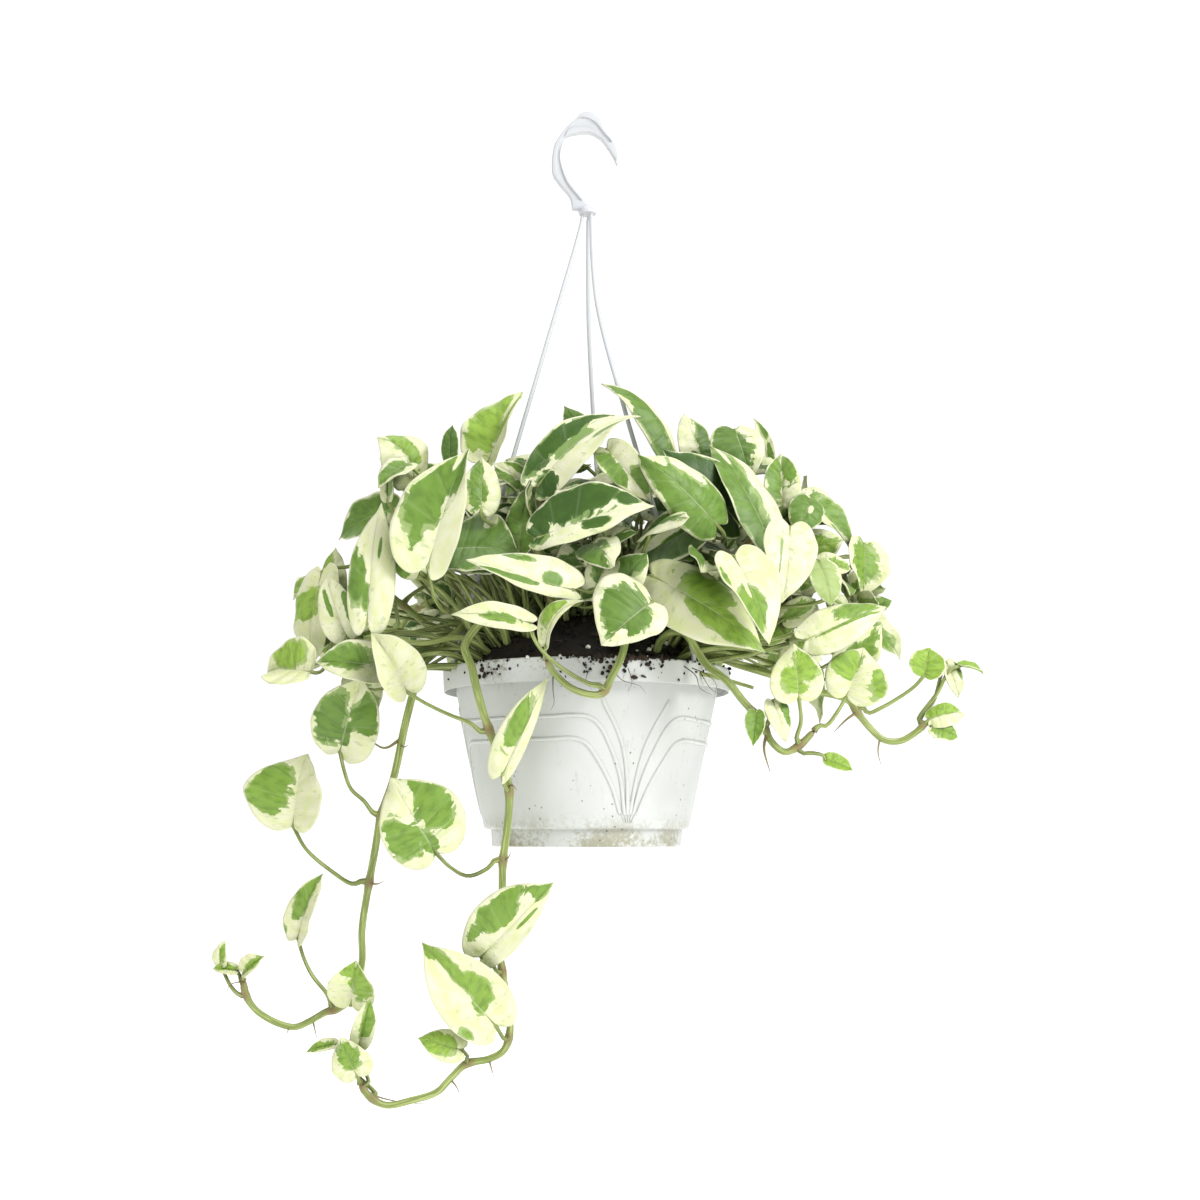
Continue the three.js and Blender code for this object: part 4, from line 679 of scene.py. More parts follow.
def smooth_line(spots, step):
    """A centripetal Catmull-Rom line through some places, with points an even step apart."""
    places = [place(spot) for spot in spots]
    knots = [2 * places[0] - places[1], *places, 2 * places[-1] - places[-2]]
    points = []
    for a, b, c, d in zip(knots, knots[1:], knots[2:], knots[3:]):
        spans = ((a, b), (b, c), (c, d))
        first, middle, last = (max(np.linalg.norm(q - p), 1e-4) ** 0.5 for p, q in spans)
        leave = (b - a) / first - (c - a) / (first + middle) + (c - b) / middle
        arrive = (c - b) / middle - (d - b) / (middle + last) + (d - c) / last
        leave, arrive = leave * middle, arrive * middle
        t = np.linspace(0, 1, 16, endpoint=False)[:, None]
        points.append(hermite(b, leave, arrive, c, t))
    points.append(places[-1][None])
    return respaced(np.concatenate(points), step)


def bezier_line(start, leave, bend, end, step):
    """A cubic Bezier line with points an even step apart."""
    t = np.linspace(0, 1, 24)[:, None]
    line = (
        start * (1 - t) ** 3 + 3 * leave * t * (1 - t) ** 2 + 3 * bend * t**2 * (1 - t) + end * t**3
    )
    return respaced(line, step)


class Shape:
    """Points, faces and painted values that are gathered into one piece.

    place is three numbers a point and paint is four, which the materials read.
    """

    def __init__(self):
        self.points, self.faces, self.slots, self.place, self.paint = [], [], [], [], []
        self.count = 0

    def add(self, points, faces, slot=0, place=(0, 0, 0), paint=(0, 0, 0, 0)):
        """Adds a closed mesh whose faces take the material of a slot."""
        self.points.append(points)
        self.faces += [[i + self.count for i in face] for face in faces]
        self.slots += [slot] * len(faces)
        self.place.append(np.broadcast_to(place, (len(points), 3)))
        self.paint.append(np.broadcast_to(paint, (len(points), 4)))
        self.count += len(points)

    def mesh(self, name, materials):
        """The mesh in metres, smooth, with its materials and painted values."""
        mesh = bpy.data.meshes.new(name)
        mesh.from_pydata((np.concatenate(self.points) * MM).tolist(), [], self.faces)
        mesh.polygons.foreach_set("material_index", self.slots)
        mesh.polygons.foreach_set("use_smooth", [True] * len(self.faces))
        for title, kind, field, values in (
            ("place", "FLOAT_VECTOR", "vector", self.place),
            ("paint", "FLOAT_COLOR", "color", self.paint),
        ):
            layer = mesh.attributes.new(title, kind, "POINT")
            layer.data.foreach_set(field, np.concatenate(values).astype(np.float32).ravel())
        for material in materials:
            mesh.materials.append(material)
        mesh.update()
        return mesh


def added(name, data):
    """A new object in the scene, with its mesh, light, camera or curve."""
    thing = bpy.data.objects.new(name, data)
    bpy.context.scene.collection.objects.link(thing)
    return thing


def shaped(thing):
    """The mesh that an object's modifiers or curve make. The object goes."""
    bpy.context.view_layer.update()
    scene_state = bpy.context.evaluated_depsgraph_get()
    mesh = bpy.data.meshes.new_from_object(thing.evaluated_get(scene_state))
    bpy.data.objects.remove(thing)
    return mesh


def add_piece(name, mesh, nodes=()):
    """Puts a mesh in the scene as a piece that stands for its CAD nodes."""
    piece = added(name, mesh)
    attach(piece, "root")
    if nodes:
        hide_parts(*nodes)
    return piece


def tube(points, radii, sides):
    """A closed tube: its points, its faces, and for each point its length along, cos and sin."""
    points = np.asarray(points, float)
    radii = np.broadcast_to(radii, len(points))
    tangents = unit(np.gradient(points, axis=0))
    side = unit(np.cross(at(0.3, -1, 0.2), tangents[0]))
    angles = np.arange(sides) * 2 * math.pi / sides
    turns = np.stack([np.cos(angles), np.sin(angles)], axis=1)
    rings, places = [], []
    for point, radius, tangent, length in zip(points, radii, tangents, lengths_along(points)):
        side = unit(side - tangent * side.dot(tangent))
        across = np.cross(tangent, side)
        rings.append(point + radius * (turns[:, :1] * side + turns[:, 1:] * across))
        places.append(np.column_stack([np.full(sides, length), turns]))
    last = (len(points) - 1) * sides
    faces = []
    for low in range(0, last, sides):
        for k in range(sides):
            after = low + (k + 1) % sides
            faces.append([low + k, after, after + sides, low + k + sides])
    faces.append(list(range(sides))[::-1])
    faces.append([last + k for k in range(sides)])
    return np.concatenate(rings), faces, np.concatenate(places)


def strand_foot(bearing):
    """Where a strand passes the rim, out from the pot's axis."""
    return outward(bearing) * (RIM_RADIUS - STRAND_INSET)


def softened(section):
    """A half section whose corners are rounded: each corner is radius, height and its rounding."""
    corners = [(np.array(c[:2], float), c[2] if len(c) > 2 else 0) for c in section]
    line = []
    for i, (corner, rounding) in enumerate(corners):
        if not rounding:
            line.append(corner)
            continue
        before, after = corners[i - 1][0], corners[i + 1][0]
        sides = [np.linalg.norm(end - corner) for end in (before, after)]
        reach = min(rounding, *(side / 2.2 for side in sides))
        start = corner + unit(before - corner) * reach
        end = corner + unit(after - corner) * reach
        for t in (0, 0.25, 0.5, 0.75, 1):
            line.append(start * (1 - t) ** 2 + 2 * corner * t * (1 - t) + end * t**2)
    return line


def turned(section, segments):
    """A solid of revolution about the Z axis. The section starts and ends on the axis."""
    angles = np.arange(segments) * 2 * math.pi / segments
    points = [at(0, 0, section[0][1])]
    for radius, height in section[1:-1]:
        points += [at(radius * math.cos(a), radius * math.sin(a), height) for a in angles]
    points.append(at(0, 0, section[-1][1]))
    rings = len(section) - 2
    top = len(points) - 1
    faces = []
    for k in range(segments):
        after = (k + 1) % segments
        faces.append([0, 1 + after, 1 + k])
        for i in range(rings - 1):
            low, high = 1 + i * segments, 1 + (i + 1) * segments
            faces.append([low + k, low + after, high + after, high + k])
        faces.append([top, 1 + (rings - 1) * segments + k, 1 + (rings - 1) * segments + after])
    return np.array(points), faces


def cut(mesh, cutter):
    """A mesh with another one cut out of it."""
    body, tool = added("body", mesh), added("tool", cutter)
    difference = body.modifiers.new("cut", "BOOLEAN")
    difference.object = tool
    difference.solver = "EXACT"
    result = shaped(body)
    bpy.data.objects.remove(tool)
    return result


def edge_at(shares):
    """The blade's edge at some shares of the way from petiole to tip."""
    corners = np.array(BLADE_EDGE, float)
    spans = np.asarray(shares, float) * (len(corners) - 1)
    first = np.minimum(spans.astype(int), len(corners) - 2)
    t = (spans - first)[:, None]
    a, b, c, d = (corners[np.clip(first + k, 0, len(corners) - 1)] for k in (-1, 0, 1, 2))
    return hermite(b, (c - a) / 2, (d - b) / 2, c, t)


def blade_grid(rows, columns):
    """The grid of a blade: u from edge to edge and v from petiole to tip, and its faces."""
    u, v = np.meshgrid(np.linspace(-1, 1, columns), np.arange(1, rows + 1) / (rows + 1))
    u = np.concatenate([[0], u.ravel(), [0]])
    v = np.concatenate([[0], v.ravel(), [1]])
    tip = len(u) - 1
    top = 1 + (rows - 1) * columns
    faces = []
    for c in range(columns - 1):
        faces.append([0, 2 + c, 1 + c])
        for r in range(rows - 1):
            low, high = 1 + r * columns + c, 1 + (r + 1) * columns + c
            faces.append([low, low + 1, high + 1, high])
        faces.append([top + c, top + c + 1, tip])
    right = [1 + r * columns + columns - 1 for r in range(rows)]
    left = [1 + r * columns for r in range(rows)]
    rim = [0, *right, tip, *left[::-1]]
    return u, v, faces, rim


BLADE_GRID = blade_grid(*BLADE_MESH)
MOUND_BLADE_GRID = blade_grid(*MOUND_BLADE_MESH)


def leaf_frame(leaf):
    """Where a blade starts, its length, and its directions across, along and out of its face."""
    base = place(leaf["base"])
    along = place(leaf["tip"]) - base
    length = np.linalg.norm(along)
    along /= length
    yaw, pitch = math.radians(leaf["yaw"]), math.radians(leaf["pitch"])
    face = at(
        math.sin(yaw) * math.cos(pitch), -math.cos(yaw) * math.cos(pitch), math.sin(pitch)
    )
    face = unit(face - along * face.dot(along))
    return base, length, np.cross(along, face), along, face


def blade_flat(u, v):
    """A place on the flat blade, as shares of its half width and of its length."""
    edge = edge_at(v)
    side = np.abs(u)
    return u * edge[:, 0], v**VEIN_RAKE * (1 - side) + edge[:, 1] * side


def blade_points(leaf, u, v):
    """Places on the middle of a blade, with its fold, arch, waved margin and drooping tip."""
    base, length, across, along, face = leaf_frame(leaf)
    flat_across, share = blade_flat(u, v)
    inside = np.clip(share, 0, 1)
    bend = 4 * inside * (1 - inside) * length
    left, right = leaf.get("halves", (1, 1))
    x = flat_across * leaf["width"] / 2 * np.where(u < 0, left, right)
    left, right = leaf.get("full", (0, 0))
    x = x * (1 + inside * np.where(u < 0, left, right))
    x = x * (1 + leaf["skew"] * np.sign(u) * (1 - inside))
    rise = np.abs(x) * math.tan(math.radians(leaf["fold"])) + leaf["arch"] * bend
    phase = leaf["seed"] * 7 + np.where(u < 0, 2.1, 0)
    wave = np.sin(v * 7 + phase) + 0.7 * np.sin(v * 15 + phase) + 0.3 * np.sin(v * 31 + phase * 2)
    rise += leaf["cup"] * leaf["width"] * u**2 * np.sin(v * math.pi)
    rise += x * math.tan(math.radians(leaf["twist"])) * (inside - 0.3)
    rise += MARGIN_WAVE * leaf["width"] * np.abs(u) ** 3 * wave * np.sin(v * math.pi)
    rise -= MIDRIB_SINK * np.exp(-((u * 9) ** 2)) * np.sin(v * math.pi)
    droop = np.maximum(inside - DROOP_START, 0) / (1 - DROOP_START)
    rise -= TIP_DROOP * length * droop**2
    return (
        base
        + np.outer(x + leaf.get("bow", 0) * bend, across)
        + np.outer(share * length, along)
        + np.outer(rise, face)
    )


def blade_fields(leaf, u, v):
    """How green and how deep a blade is at each place: below 0 is cream or pale, above 0 green."""
    across, along = blade_flat(u, v)
    ground = 1.0 if leaf["look"][0][0] == "cream" else -1.0
    tinted, deep = np.full((2, len(u)), ground)
    for kind, x, y, half_x, half_y, turn in leaf["look"]:
        angle = math.radians(turn)
        dx, dy = across - x, along - y
        spot_x = (dx * math.cos(angle) + dy * math.sin(angle)) / half_x
        spot_y = (dy * math.cos(angle) - dx * math.sin(angle)) / half_y
        patch = np.clip((1 - np.hypot(spot_x, spot_y)) * 1.6, -1, 1)
        if kind == "cream":
            tinted, deep = np.minimum(tinted, -patch), np.minimum(deep, -patch)
            continue
        tinted = np.maximum(tinted, patch)
        if kind == "green":
            deep = np.maximum(deep, patch)
    margin = (1 - np.abs(u) - leaf.get("edge", CREAM_EDGE)) * EDGE_SLOPE
    return np.minimum(tinted, margin), np.minimum(deep, margin)


def add_blade(shape, leaf, slot, grid=BLADE_GRID):
    """Adds a blade as a thin closed shell, with its green and cream painted."""
    u, v, faces, rim = grid
    middle = blade_points(leaf, u, v)
    normals = np.zeros_like(middle)
    for sides in (3, 4):
        corners = np.array([face for face in faces if len(face) == sides])
        a, b, c = middle[corners[:, 0]], middle[corners[:, 1]], middle[corners[:, -1]]
        facing = np.cross(b - a, c - a)
        for k in range(sides):
            np.add.at(normals, corners[:, k], facing)
    normals = unit(normals)
    count = len(middle)
    front = middle + normals * BLADE_THICKNESS / 2
    back = middle - normals * BLADE_THICKNESS / 2
    shell = faces + [[i + count for i in face[::-1]] for face in faces]
    for a, b in zip(rim, rim[1:] + rim[:1]):
        shell.append([a, a + count, b + count, b])
    seed = np.full(count, leaf["seed"])
    places = np.column_stack([u, v, seed])
    tone = np.full(count, leaf["tone"])
    upper = np.column_stack([*blade_fields(leaf, u, v), tone, np.zeros(count)])
    under = upper + (0, 0, 0, 1)
    shape.add(
        np.concatenate([front, back]), shell, slot, np.concatenate([places, places]),
        np.concatenate([upper, under]),
    )


def nearest(line, spot):
    """The nearest point of a stem's line, with its direction, and whether it is the stem's end."""
    i = int(np.argmin(np.linalg.norm(line - spot, axis=1)))
    direction = unit(line[min(i + 1, len(line) - 1)] - line[max(i - 1, 0)])
    return line[i], direction, i == len(line) - 1


def petiole_line(leaf, stem):
    """The petiole's line from inside its stem to the blade's base."""
    base, _, _, along, face = leaf_frame(leaf)
    start, direction, at_end = nearest(stem, place(leaf["joint"]))
    way = [place(spot) for spot in leaf.get("via", [])]
    aim = way[0] if way else base
    away = direction if at_end else unit(aim - start - direction * direction.dot(aim - start))
    if way:
        return smooth_line([start, start + away * PETIOLE_LEAD, *way, base], PETIOLE_STEP)
    reach = np.linalg.norm(base - start) / 3
    bend = base - unit(along * 0.7 + face * 0.5) * reach
    return bezier_line(start, start + away * reach, bend, base, PETIOLE_STEP)


def add_petiole(shape, leaf, line, slot):
    """Adds a petiole that ends as the midrib inside its blade."""
    midrib = blade_points(leaf, np.zeros(len(MIDRIB_REACH)), np.array(MIDRIB_REACH))
    points = np.concatenate([line, midrib])
    share = np.linspace(0, 1, len(line))
    radii = PETIOLE_RADIUS + (PETIOLE_TIP_RADIUS - PETIOLE_RADIUS) * share
    foot_swell, top_swell = PETIOLE_SWELLS
    radii += foot_swell * np.exp(-((share * 9) ** 2))
    radii += top_swell * np.exp(-(((1 - share) * 7) ** 2))
    radii = np.concatenate([radii, MIDRIB_RADII])
    points, faces, places = tube(points, radii, PETIOLE_SIDES)
    along = np.repeat(np.concatenate([share, np.ones(len(MIDRIB_REACH))]), PETIOLE_SIDES)
    node = np.maximum(0.7 - along * 9, 0)
    rest = np.broadcast_to((leaf["petiole"], leaf["seed"], 0), (len(along), 3))
    shape.add(points, faces, slot, places, np.column_stack([node, rest]))


def add_leaf(shape, leaf, stem, blade_slot, stem_slot):
    """Adds a leaf: its blade and its petiole."""
    add_blade(shape, leaf, blade_slot)
    add_petiole(shape, leaf, petiole_line(leaf, stem), stem_slot)


def add_root(shape, line, radius):
    """Adds a short root that tapers to a point."""
    radii = radius * np.linspace(1, 0.15, len(line))
    points, faces, places = tube(line, radii, ROOT_SIDES)
    shape.add(points, faces, 0, places, (0.9, 0.5, 0.3, 0))


def add_stem(shape, name, line, joints, slot):
    """Adds a stem with a swelling and a scar at each joint."""
    share = np.linspace(0, 1, len(line))
    radii = STEM_RADIUS + (STEM_TIP_RADIUS - STEM_RADIUS) * share
    node = np.zeros(len(line))
    for joint in joints:
        distance = np.linalg.norm(line - joint, axis=1)
        node = np.maximum(node, np.exp(-((distance / NODE_REACH) ** 2)))
    radii = radii * (1 + NODE_SWELL * node)
    radii[-2:] *= (0.8, 0.35)
    points, faces, places = tube(line, radii, STEM_SIDES)
    seed = sum(ord(letter) for letter in name) % 97
    paint = np.column_stack(
        [np.repeat(node, STEM_SIDES), np.broadcast_to((0.15, seed, 0), (len(points), 3))]
    )
    shape.add(points, faces, slot, places, paint)


def new_material(name):
    """An empty material, and what adds a node to it."""
    material = bpy.data.materials.new(name)
    material.use_nodes = True
    material.node_tree.nodes.clear()
    return material, partial(add_node, material.node_tree)


def add_node(tree, kind, inputs=None, **settings):
    """Adds a node with its settings, links or fills its inputs, and returns its outputs."""
    node = tree.nodes.new("ShaderNode" + kind)
    for name, value in settings.items():
        setattr(node, name, value)
    for key, value in (inputs or {}).items():
        if isinstance(value, bpy.types.NodeSocket):
            tree.links.new(value, node.inputs[key])
        else:
            node.inputs[key].default_value = value
    return node.outputs


def opaque(colour):
    """A linear colour with full opacity, as a colour socket takes it."""
    return (*colour[:3], 1)


SMOOTH = {"interpolation_type": "SMOOTHSTEP"}
MULTIPLY = {"operation": "MULTIPLY"}
ADD = {"operation": "ADD"}
COLOURS = {"data_type": "RGBA"}


def moulded_polypropylene(name, look, base, soil_marks):
    """Injection-moulded polypropylene: a satin white skin, a little uneven in gloss and shade.

    With soil marks it has brown specks, smears below the rim, a greenish film on the foot, grey
    scuffs down the wall, and painted shade in its corners and along its raised lines.
    """
    material, node = new_material(name)
    where = node("NewGeometry")["Position"]
    cloud = node("TexNoise", {"Vector": where, "Scale": 1 / (24 * MM), "Detail": 4})[0]
    grain = node("TexNoise", {"Vector": where, "Scale": 1 / (1.6 * MM), "Detail": 3})[0]
    colour = node("Mix", {0: cloud, 6: opaque(base), 7: opaque(look.shade)}, **COLOURS)[2]
    if soil_marks:
        colour = add_soil_marks_and_painted_shade(node, colour, where, look)
    rough = node("MapRange", {0: cloud, 3: look.roughness - 0.05, 4: look.roughness + 0.12})[0]
    return skinned(material, node, colour, rough, 1.49, (grain, 0.25, 0.1))


def skinned(material, node, colour, roughness, ior, relief):
    """A material with a skin whose relief is a height, its strength and its depth in mm."""
    height, strength, depth = relief
    bump = node("Bump", {"Height": height, "Strength": strength, "Distance": depth * MM})[0]
    skin = {"Base Color": colour, "Roughness": roughness, "Normal": bump, "IOR": ior}
    node("OutputMaterial", {"Surface": node("BsdfPrincipled", skin)[0]})
    return material


def with_painted_shade(node, colour, reach, strength, tint):
    """Painted shade: a tint darkens a colour where other surfaces stand within some millimetres of it.
    """
    open_share = node("AmbientOcclusion", {"Distance": reach * MM}, samples=6)["AO"]
    closed = node("MapRange", {0: open_share, 1: 0.9, 2: 0.3, 4: strength}, **SMOOTH)[0]
    mix = {"blend_type": "MULTIPLY", **COLOURS}
    return node("Mix", {0: closed, 6: colour, 7: opaque(linear(tint))}, **mix)[2]


def add_soil_marks_and_painted_shade(node, colour, where, look):
    """Lays painted shade and soil marks on a colour: each mark is a mask, its strength and colour."""
    height = node("SeparateXYZ", {0: where})[2]
    patches = node("TexNoise", {"Vector": where, "Scale": 1 / (34 * MM), "Detail": 2})[0]
    fine = node("TexNoise", {"Vector": where, "Scale": 1 / (3 * MM), "Detail": 6, "Roughness": 0.7})[0]
    both = node("Math", {0: fine, 1: patches}, **ADD)[0]
    drawn_down = node("VectorMath", {0: where, 1: (1, 1, 0.16)}, **MULTIPLY)[0]
    streaked = {"Vector": drawn_down, "Scale": 1 / (4 * MM), "Detail": 5, "Roughness": 0.75}
    streaks = node("TexNoise", streaked)[0]
    specks = node("TexVoronoi", {"Vector": where, "Scale": 1 / (5 * MM)})["Distance"]
    rim = (height, (RIM_Z - SKIRT_DEPTH - 4) * MM, (RIM_Z - 4) * MM)
    foot = (height, (STEP_Z + 14) * MM, (BASE_Z + 2) * MM)
    marks = [
        ((streaks, 0.55, 0.72), (patches, 0.42, 0.6), 0.5, "#A9AAA4"),
        (foot, (both, 0.9, 1.16), 0.75, "#8A8663"),
        (rim, (both, 1.06, 1.24), 0.7, "#6E5A44"),
        ((specks, 0.16, 0.11), (patches, 0.5, 0.62), 0.75, "#4A3A2C"),
    ]
    # Painted shade: the plastic darkens where other surfaces stand within 5 mm, in its corners and
    # along the raised lines.
    colour = with_painted_shade(node, colour, 5, 0.7, "#8A8B7C")
    for first, second, strength, tint in marks:
        mask = strength * look.soil_marks
        for value, low, high in (first, second):
            mask = node("MapRange", {0: value, 1: low, 2: high, 4: mask}, **SMOOTH)[0]
        colour = node("Mix", {0: mask, 6: colour, 7: opaque(linear(tint))}, **COLOURS)[2]
    return colour


def moist_peat_mix(look):
    """Moist peat and coir: near black and matt, with crumbs a few millimetres wide."""
    material, node = new_material("moist_peat_mix")
    where = node("NewGeometry")["Position"]
    crumbly = {"Vector": where, "Scale": 1 / (4 * MM), "Detail": 8, "Roughness": 0.7}
    crumbs = node("TexNoise", crumbly)[0]
    lumps = node("TexNoise", {"Vector": where, "Scale": 1 / (18 * MM), "Detail": 2})[0]
    dry = node("MapRange", {0: crumbs, 1: 0.4, 2: 0.68}, **SMOOTH)[0]
    bark = node("MapRange", {0: lumps, 1: 0.5, 2: 0.7, 4: 0.3}, **SMOOTH)[0]
    colour = node("Mix", {0: dry, 6: opaque(look.peat), 7: opaque(look.fibre)}, **COLOURS)[2]
    colour = node("Mix", {0: bark, 6: colour, 7: opaque(look.bark)}, **COLOURS)[2]
    return skinned(material, node, colour, 0.93, 1.45, (crumbs, 0.9, 1.2))


def dry_bits(name, first, second, grain):
    """A dry matt material in two colours, such as perlite, bark or root: grain in millimetres."""
    material, node = new_material(name)
    where = node("NewGeometry")["Position"]
    spots = node("TexNoise", {"Vector": where, "Scale": 1 / (grain * MM), "Detail": 5})[0]
    share = node("MapRange", {0: spots, 1: 0.38, 2: 0.62}, **SMOOTH)[0]
    colour = node("Mix", {0: share, 6: opaque(first), 7: opaque(second)}, **COLOURS)[2]
    return skinned(material, node, colour, 0.9, 1.5, (spots, 0.7, 0.2 * grain))


def blade_noise(node, blade, x, y, detail):
    """Noise over a blade, x times across it and y times along, different on each leaf."""
    vector = node("VectorMath", {0: blade, 1: (x, y, 7.3)}, **MULTIPLY)[0]
    return node("TexNoise", {"Vector": vector, "Scale": 1, "Detail": detail})[0]


def vein_steps(node, blade, side, wobble, bands, salt):
    """A random value for each band between two side veins, on each half of each leaf."""
    _, along, seed = node("SeparateXYZ", {0: blade})
    row = node("Math", {0: along, 1: bands, 2: wobble}, operation="MULTIPLY_ADD")[0]
    row = node("Math", {0: row}, operation="FLOOR")[0]
    salted = node("Math", {0: seed, 1: salt}, **ADD)[0]
    vector = node("CombineXYZ", {0: row, 1: side, 2: salted})[0]
    return node("TexWhiteNoise", {"Vector": vector}, noise_dimensions="3D")[0]


def patch_mask(node, field, start, parts, softness):
    """Where the painted field, moved by some random parts of a strength each, is above 0."""
    total = node("Math", {0: field, 1: start}, **ADD)[0]
    for value, strength in parts:
        lift = node("Math", {0: value, 1: strength, 2: -strength / 2}, operation="MULTIPLY_ADD")[0]
        total = node("Math", {0: total, 1: lift}, **ADD)[0]
    return node("MapRange", {0: total, 1: -softness, 2: softness}, **SMOOTH)[0]


def waxy_leaf_blade(look):
    """A living leaf blade with a waxed skin: satin gloss over cream and green tissue.

    The green lies in patches whose edges step along the side veins, with a grey-green zone where
    it runs out into the cream, a pale midrib and a thin pale margin. The underside is paler and
    duller, and a little light shines through. Painted shade darkens it to olive near other leaves.
    """
    material, node = new_material("waxy_leaf_blade")
    blade = node("Attribute", attribute_name="place")["Vector"]
    across, along, _ = node("SeparateXYZ", {0: blade})
    painted = node("Attribute", attribute_name="paint")
    tinted, depth, tone = node("SeparateColor", {0: painted["Color"]})
    under = painted["Alpha"]
    side = node("Math", {0: across}, operation="SIGN")[0]
    far = node("Math", {0: across}, operation="ABSOLUTE")[0]
    wobble = blade_noise(node, blade, 2.5, 7, 2)
    fleck = blade_noise(node, blade, 3, 22, 3)
    mottle = blade_noise(node, blade, 3, 9, 3)
    coarse = vein_steps(node, blade, side, wobble, look.vein_bands, 0.1)
    fine = vein_steps(node, blade, side, wobble, look.vein_bands * 2.7, 3.7)
    inner = vein_steps(node, blade, side, wobble, look.vein_bands * 0.8, 11.3)
    outer_parts = [(coarse, 0.5), (fine, 0.22), (fleck, 0.25), (mottle, 1.2)]
    is_green = patch_mask(node, tinted, 0, outer_parts, 0.03)
    inner_parts = [(inner, 0.7), (fine, 0.25), (fleck, 0.3), (mottle, 1.3)]
    is_deep = patch_mask(node, depth, -look.grey_reach, inner_parts, 0.06)
    deep = node("Math", {0: is_green, 1: is_deep}, **MULTIPLY)[0]
    stray = node("MapRange", {0: fleck, 1: 0.6, 2: 0.68, 4: 0.34}, **SMOOTH)[0]

    lit = node("Math", {0: mottle, 1: 0.25, 2: tone}, operation="MULTIPLY_ADD")[0]
    greens = node("ValToRGB", {0: lit})[0]
    ramp = greens.node.color_ramp
    ramp.elements.new(0.6)
    for element, colour in zip(ramp.elements, (look.dark_green, look.mid_green, look.bright_green)):
        element.color = opaque(colour)
    ramp.elements[0].position = 0.12
    grey = node("Mix", {0: tone, 6: opaque(look.grey_green), 7: opaque(look.pale_green)}, **COLOURS)[2]
    yellow = node("MapRange", {0: mottle, 1: 0.35, 2: 0.7, 4: 0.55}, **SMOOTH)[0]
    yellow = node("Math", {0: tone, 1: 0.25, 2: yellow}, operation="MULTIPLY_ADD")[0]
    colour = node("Mix", {0: yellow, 6: opaque(look.cream), 7: opaque(look.yellow_cream)}, **COLOURS)[2]
    streak = node("MapRange", {0: fleck, 1: 0.42, 2: 0.68, 4: 0.35}, **SMOOTH)[0]
    streak = node("Math", {0: streak, 1: deep}, **MULTIPLY)[0]
    dark = opaque(look.dark_green)
    for share, tint in ((stray, grey), (is_green, grey), (deep, greens), (streak, dark)):
        colour = node("Mix", {0: share, 6: colour, 7: tint}, **COLOURS)[2]

    vein_row = node("Math", {0: along, 1: look.vein_bands}, **MULTIPLY)[0]
    vein_row = node("Math", {0: vein_row, 1: 1.0}, operation="PINGPONG")[0]
    side_vein = node("MapRange", {0: vein_row, 1: 0.14, 2: 0.02, 4: 0.05}, **SMOOTH)[0]
    rib = node("MapRange", {0: far, 1: 0.045, 2: 0.012, 4: 0.24}, **SMOOTH)[0]
    margin = node("MapRange", {0: far, 1: 0.955, 2: 0.985, 4: 0.8}, **SMOOTH)[0]
    paler = node("Math", {0: rib, 1: margin}, operation="MAXIMUM")[0]
    paler = node("Math", {0: paler, 1: side_vein}, operation="MAXIMUM")[0]
    below = node("Math", {0: under, 1: 0.4}, **MULTIPLY)[0]
    for share, tint in ((paler, look.cream), (below, look.underside)):
        colour = node("Mix", {0: share, 6: colour, 7: opaque(tint)}, **COLOURS)[2]
    # Painted shade: the colour darkens to olive where other leaves and stems stand within 30 mm, as
    # inside the dense mound.
    colour = with_painted_shade(node, colour, 30, 0.78, "#566B0A")

    quilt = node("MapRange", {0: vein_row, 1: 0.0, 2: 0.7}, **SMOOTH)[0]
    pores = blade_noise(node, blade, 9, 60, 3)
    relief = quilt
    for value, weight in ((pores, 0.4), (fleck, 1.5), (rib, -5)):
        relief = node("Math", {0: value, 1: weight, 2: relief}, operation="MULTIPLY_ADD")[0]
    bump = node("Bump", {"Height": relief, "Strength": 0.6, "Distance": 0.6 * MM})[0]
    rough = node("MapRange", {0: mottle, 3: look.roughness - 0.06, 4: look.roughness + 0.1})[0]
    rough = node("Math", {0: under, 1: 0.2, 2: rough}, operation="MULTIPLY_ADD")[0]
    waxed = {"Base Color": colour, "Roughness": rough, "Normal": bump, "IOR": 1.45}
    skin = node("BsdfPrincipled", waxed)[0]
    glow = node("BsdfTranslucent", {"Color": colour})[0]
    surface = node("MixShader", {0: look.glow, 1: skin, 2: glow})[0]
    node("OutputMaterial", {"Surface": surface})
    return material


def living_stem(look):
    """A green stem or petiole: satin skin, pale streaks along it and brown scars at its nodes."""
    material, node = new_material("living_green_stem")
    skin = node("Attribute", attribute_name="place")["Vector"]
    painted = node("Attribute", attribute_name="paint")["Color"]
    joint, dark, seed = node("SeparateColor", {0: painted})
    offset = node("CombineXYZ", {0: seed})[0]
    vector = node("VectorMath", {0: skin, 1: (0.035, 1.6, 1.6)}, **MULTIPLY)[0]
    vector = node("VectorMath", {0: vector, 1: offset}, **ADD)[0]
    streak = node("TexNoise", {"Vector": vector, "Scale": 1.6, "Detail": 3})[0]
    bands = [
        (0.5, 0.62, 1, look.stem_pale),
        (0.56, 0.4, dark, look.stem_dark),
        (0.3, 0.55, joint, look.scar),
    ]
    colour = opaque(look.stem_green)
    for low, high, most, tint in bands:
        share = node("MapRange", {0: streak, 1: low, 2: high, 4: most}, **SMOOTH)[0]
        colour = node("Mix", {0: share, 6: colour, 7: opaque(tint)}, **COLOURS)[2]
    # Painted shade: the colour darkens where other stems and leaves stand within 16 mm.
    colour = with_painted_shade(node, colour, 16, 0.5, "#62662A")
    return skinned(material, node, colour, 0.45, 1.45, (streak, 0.4, 0.3))


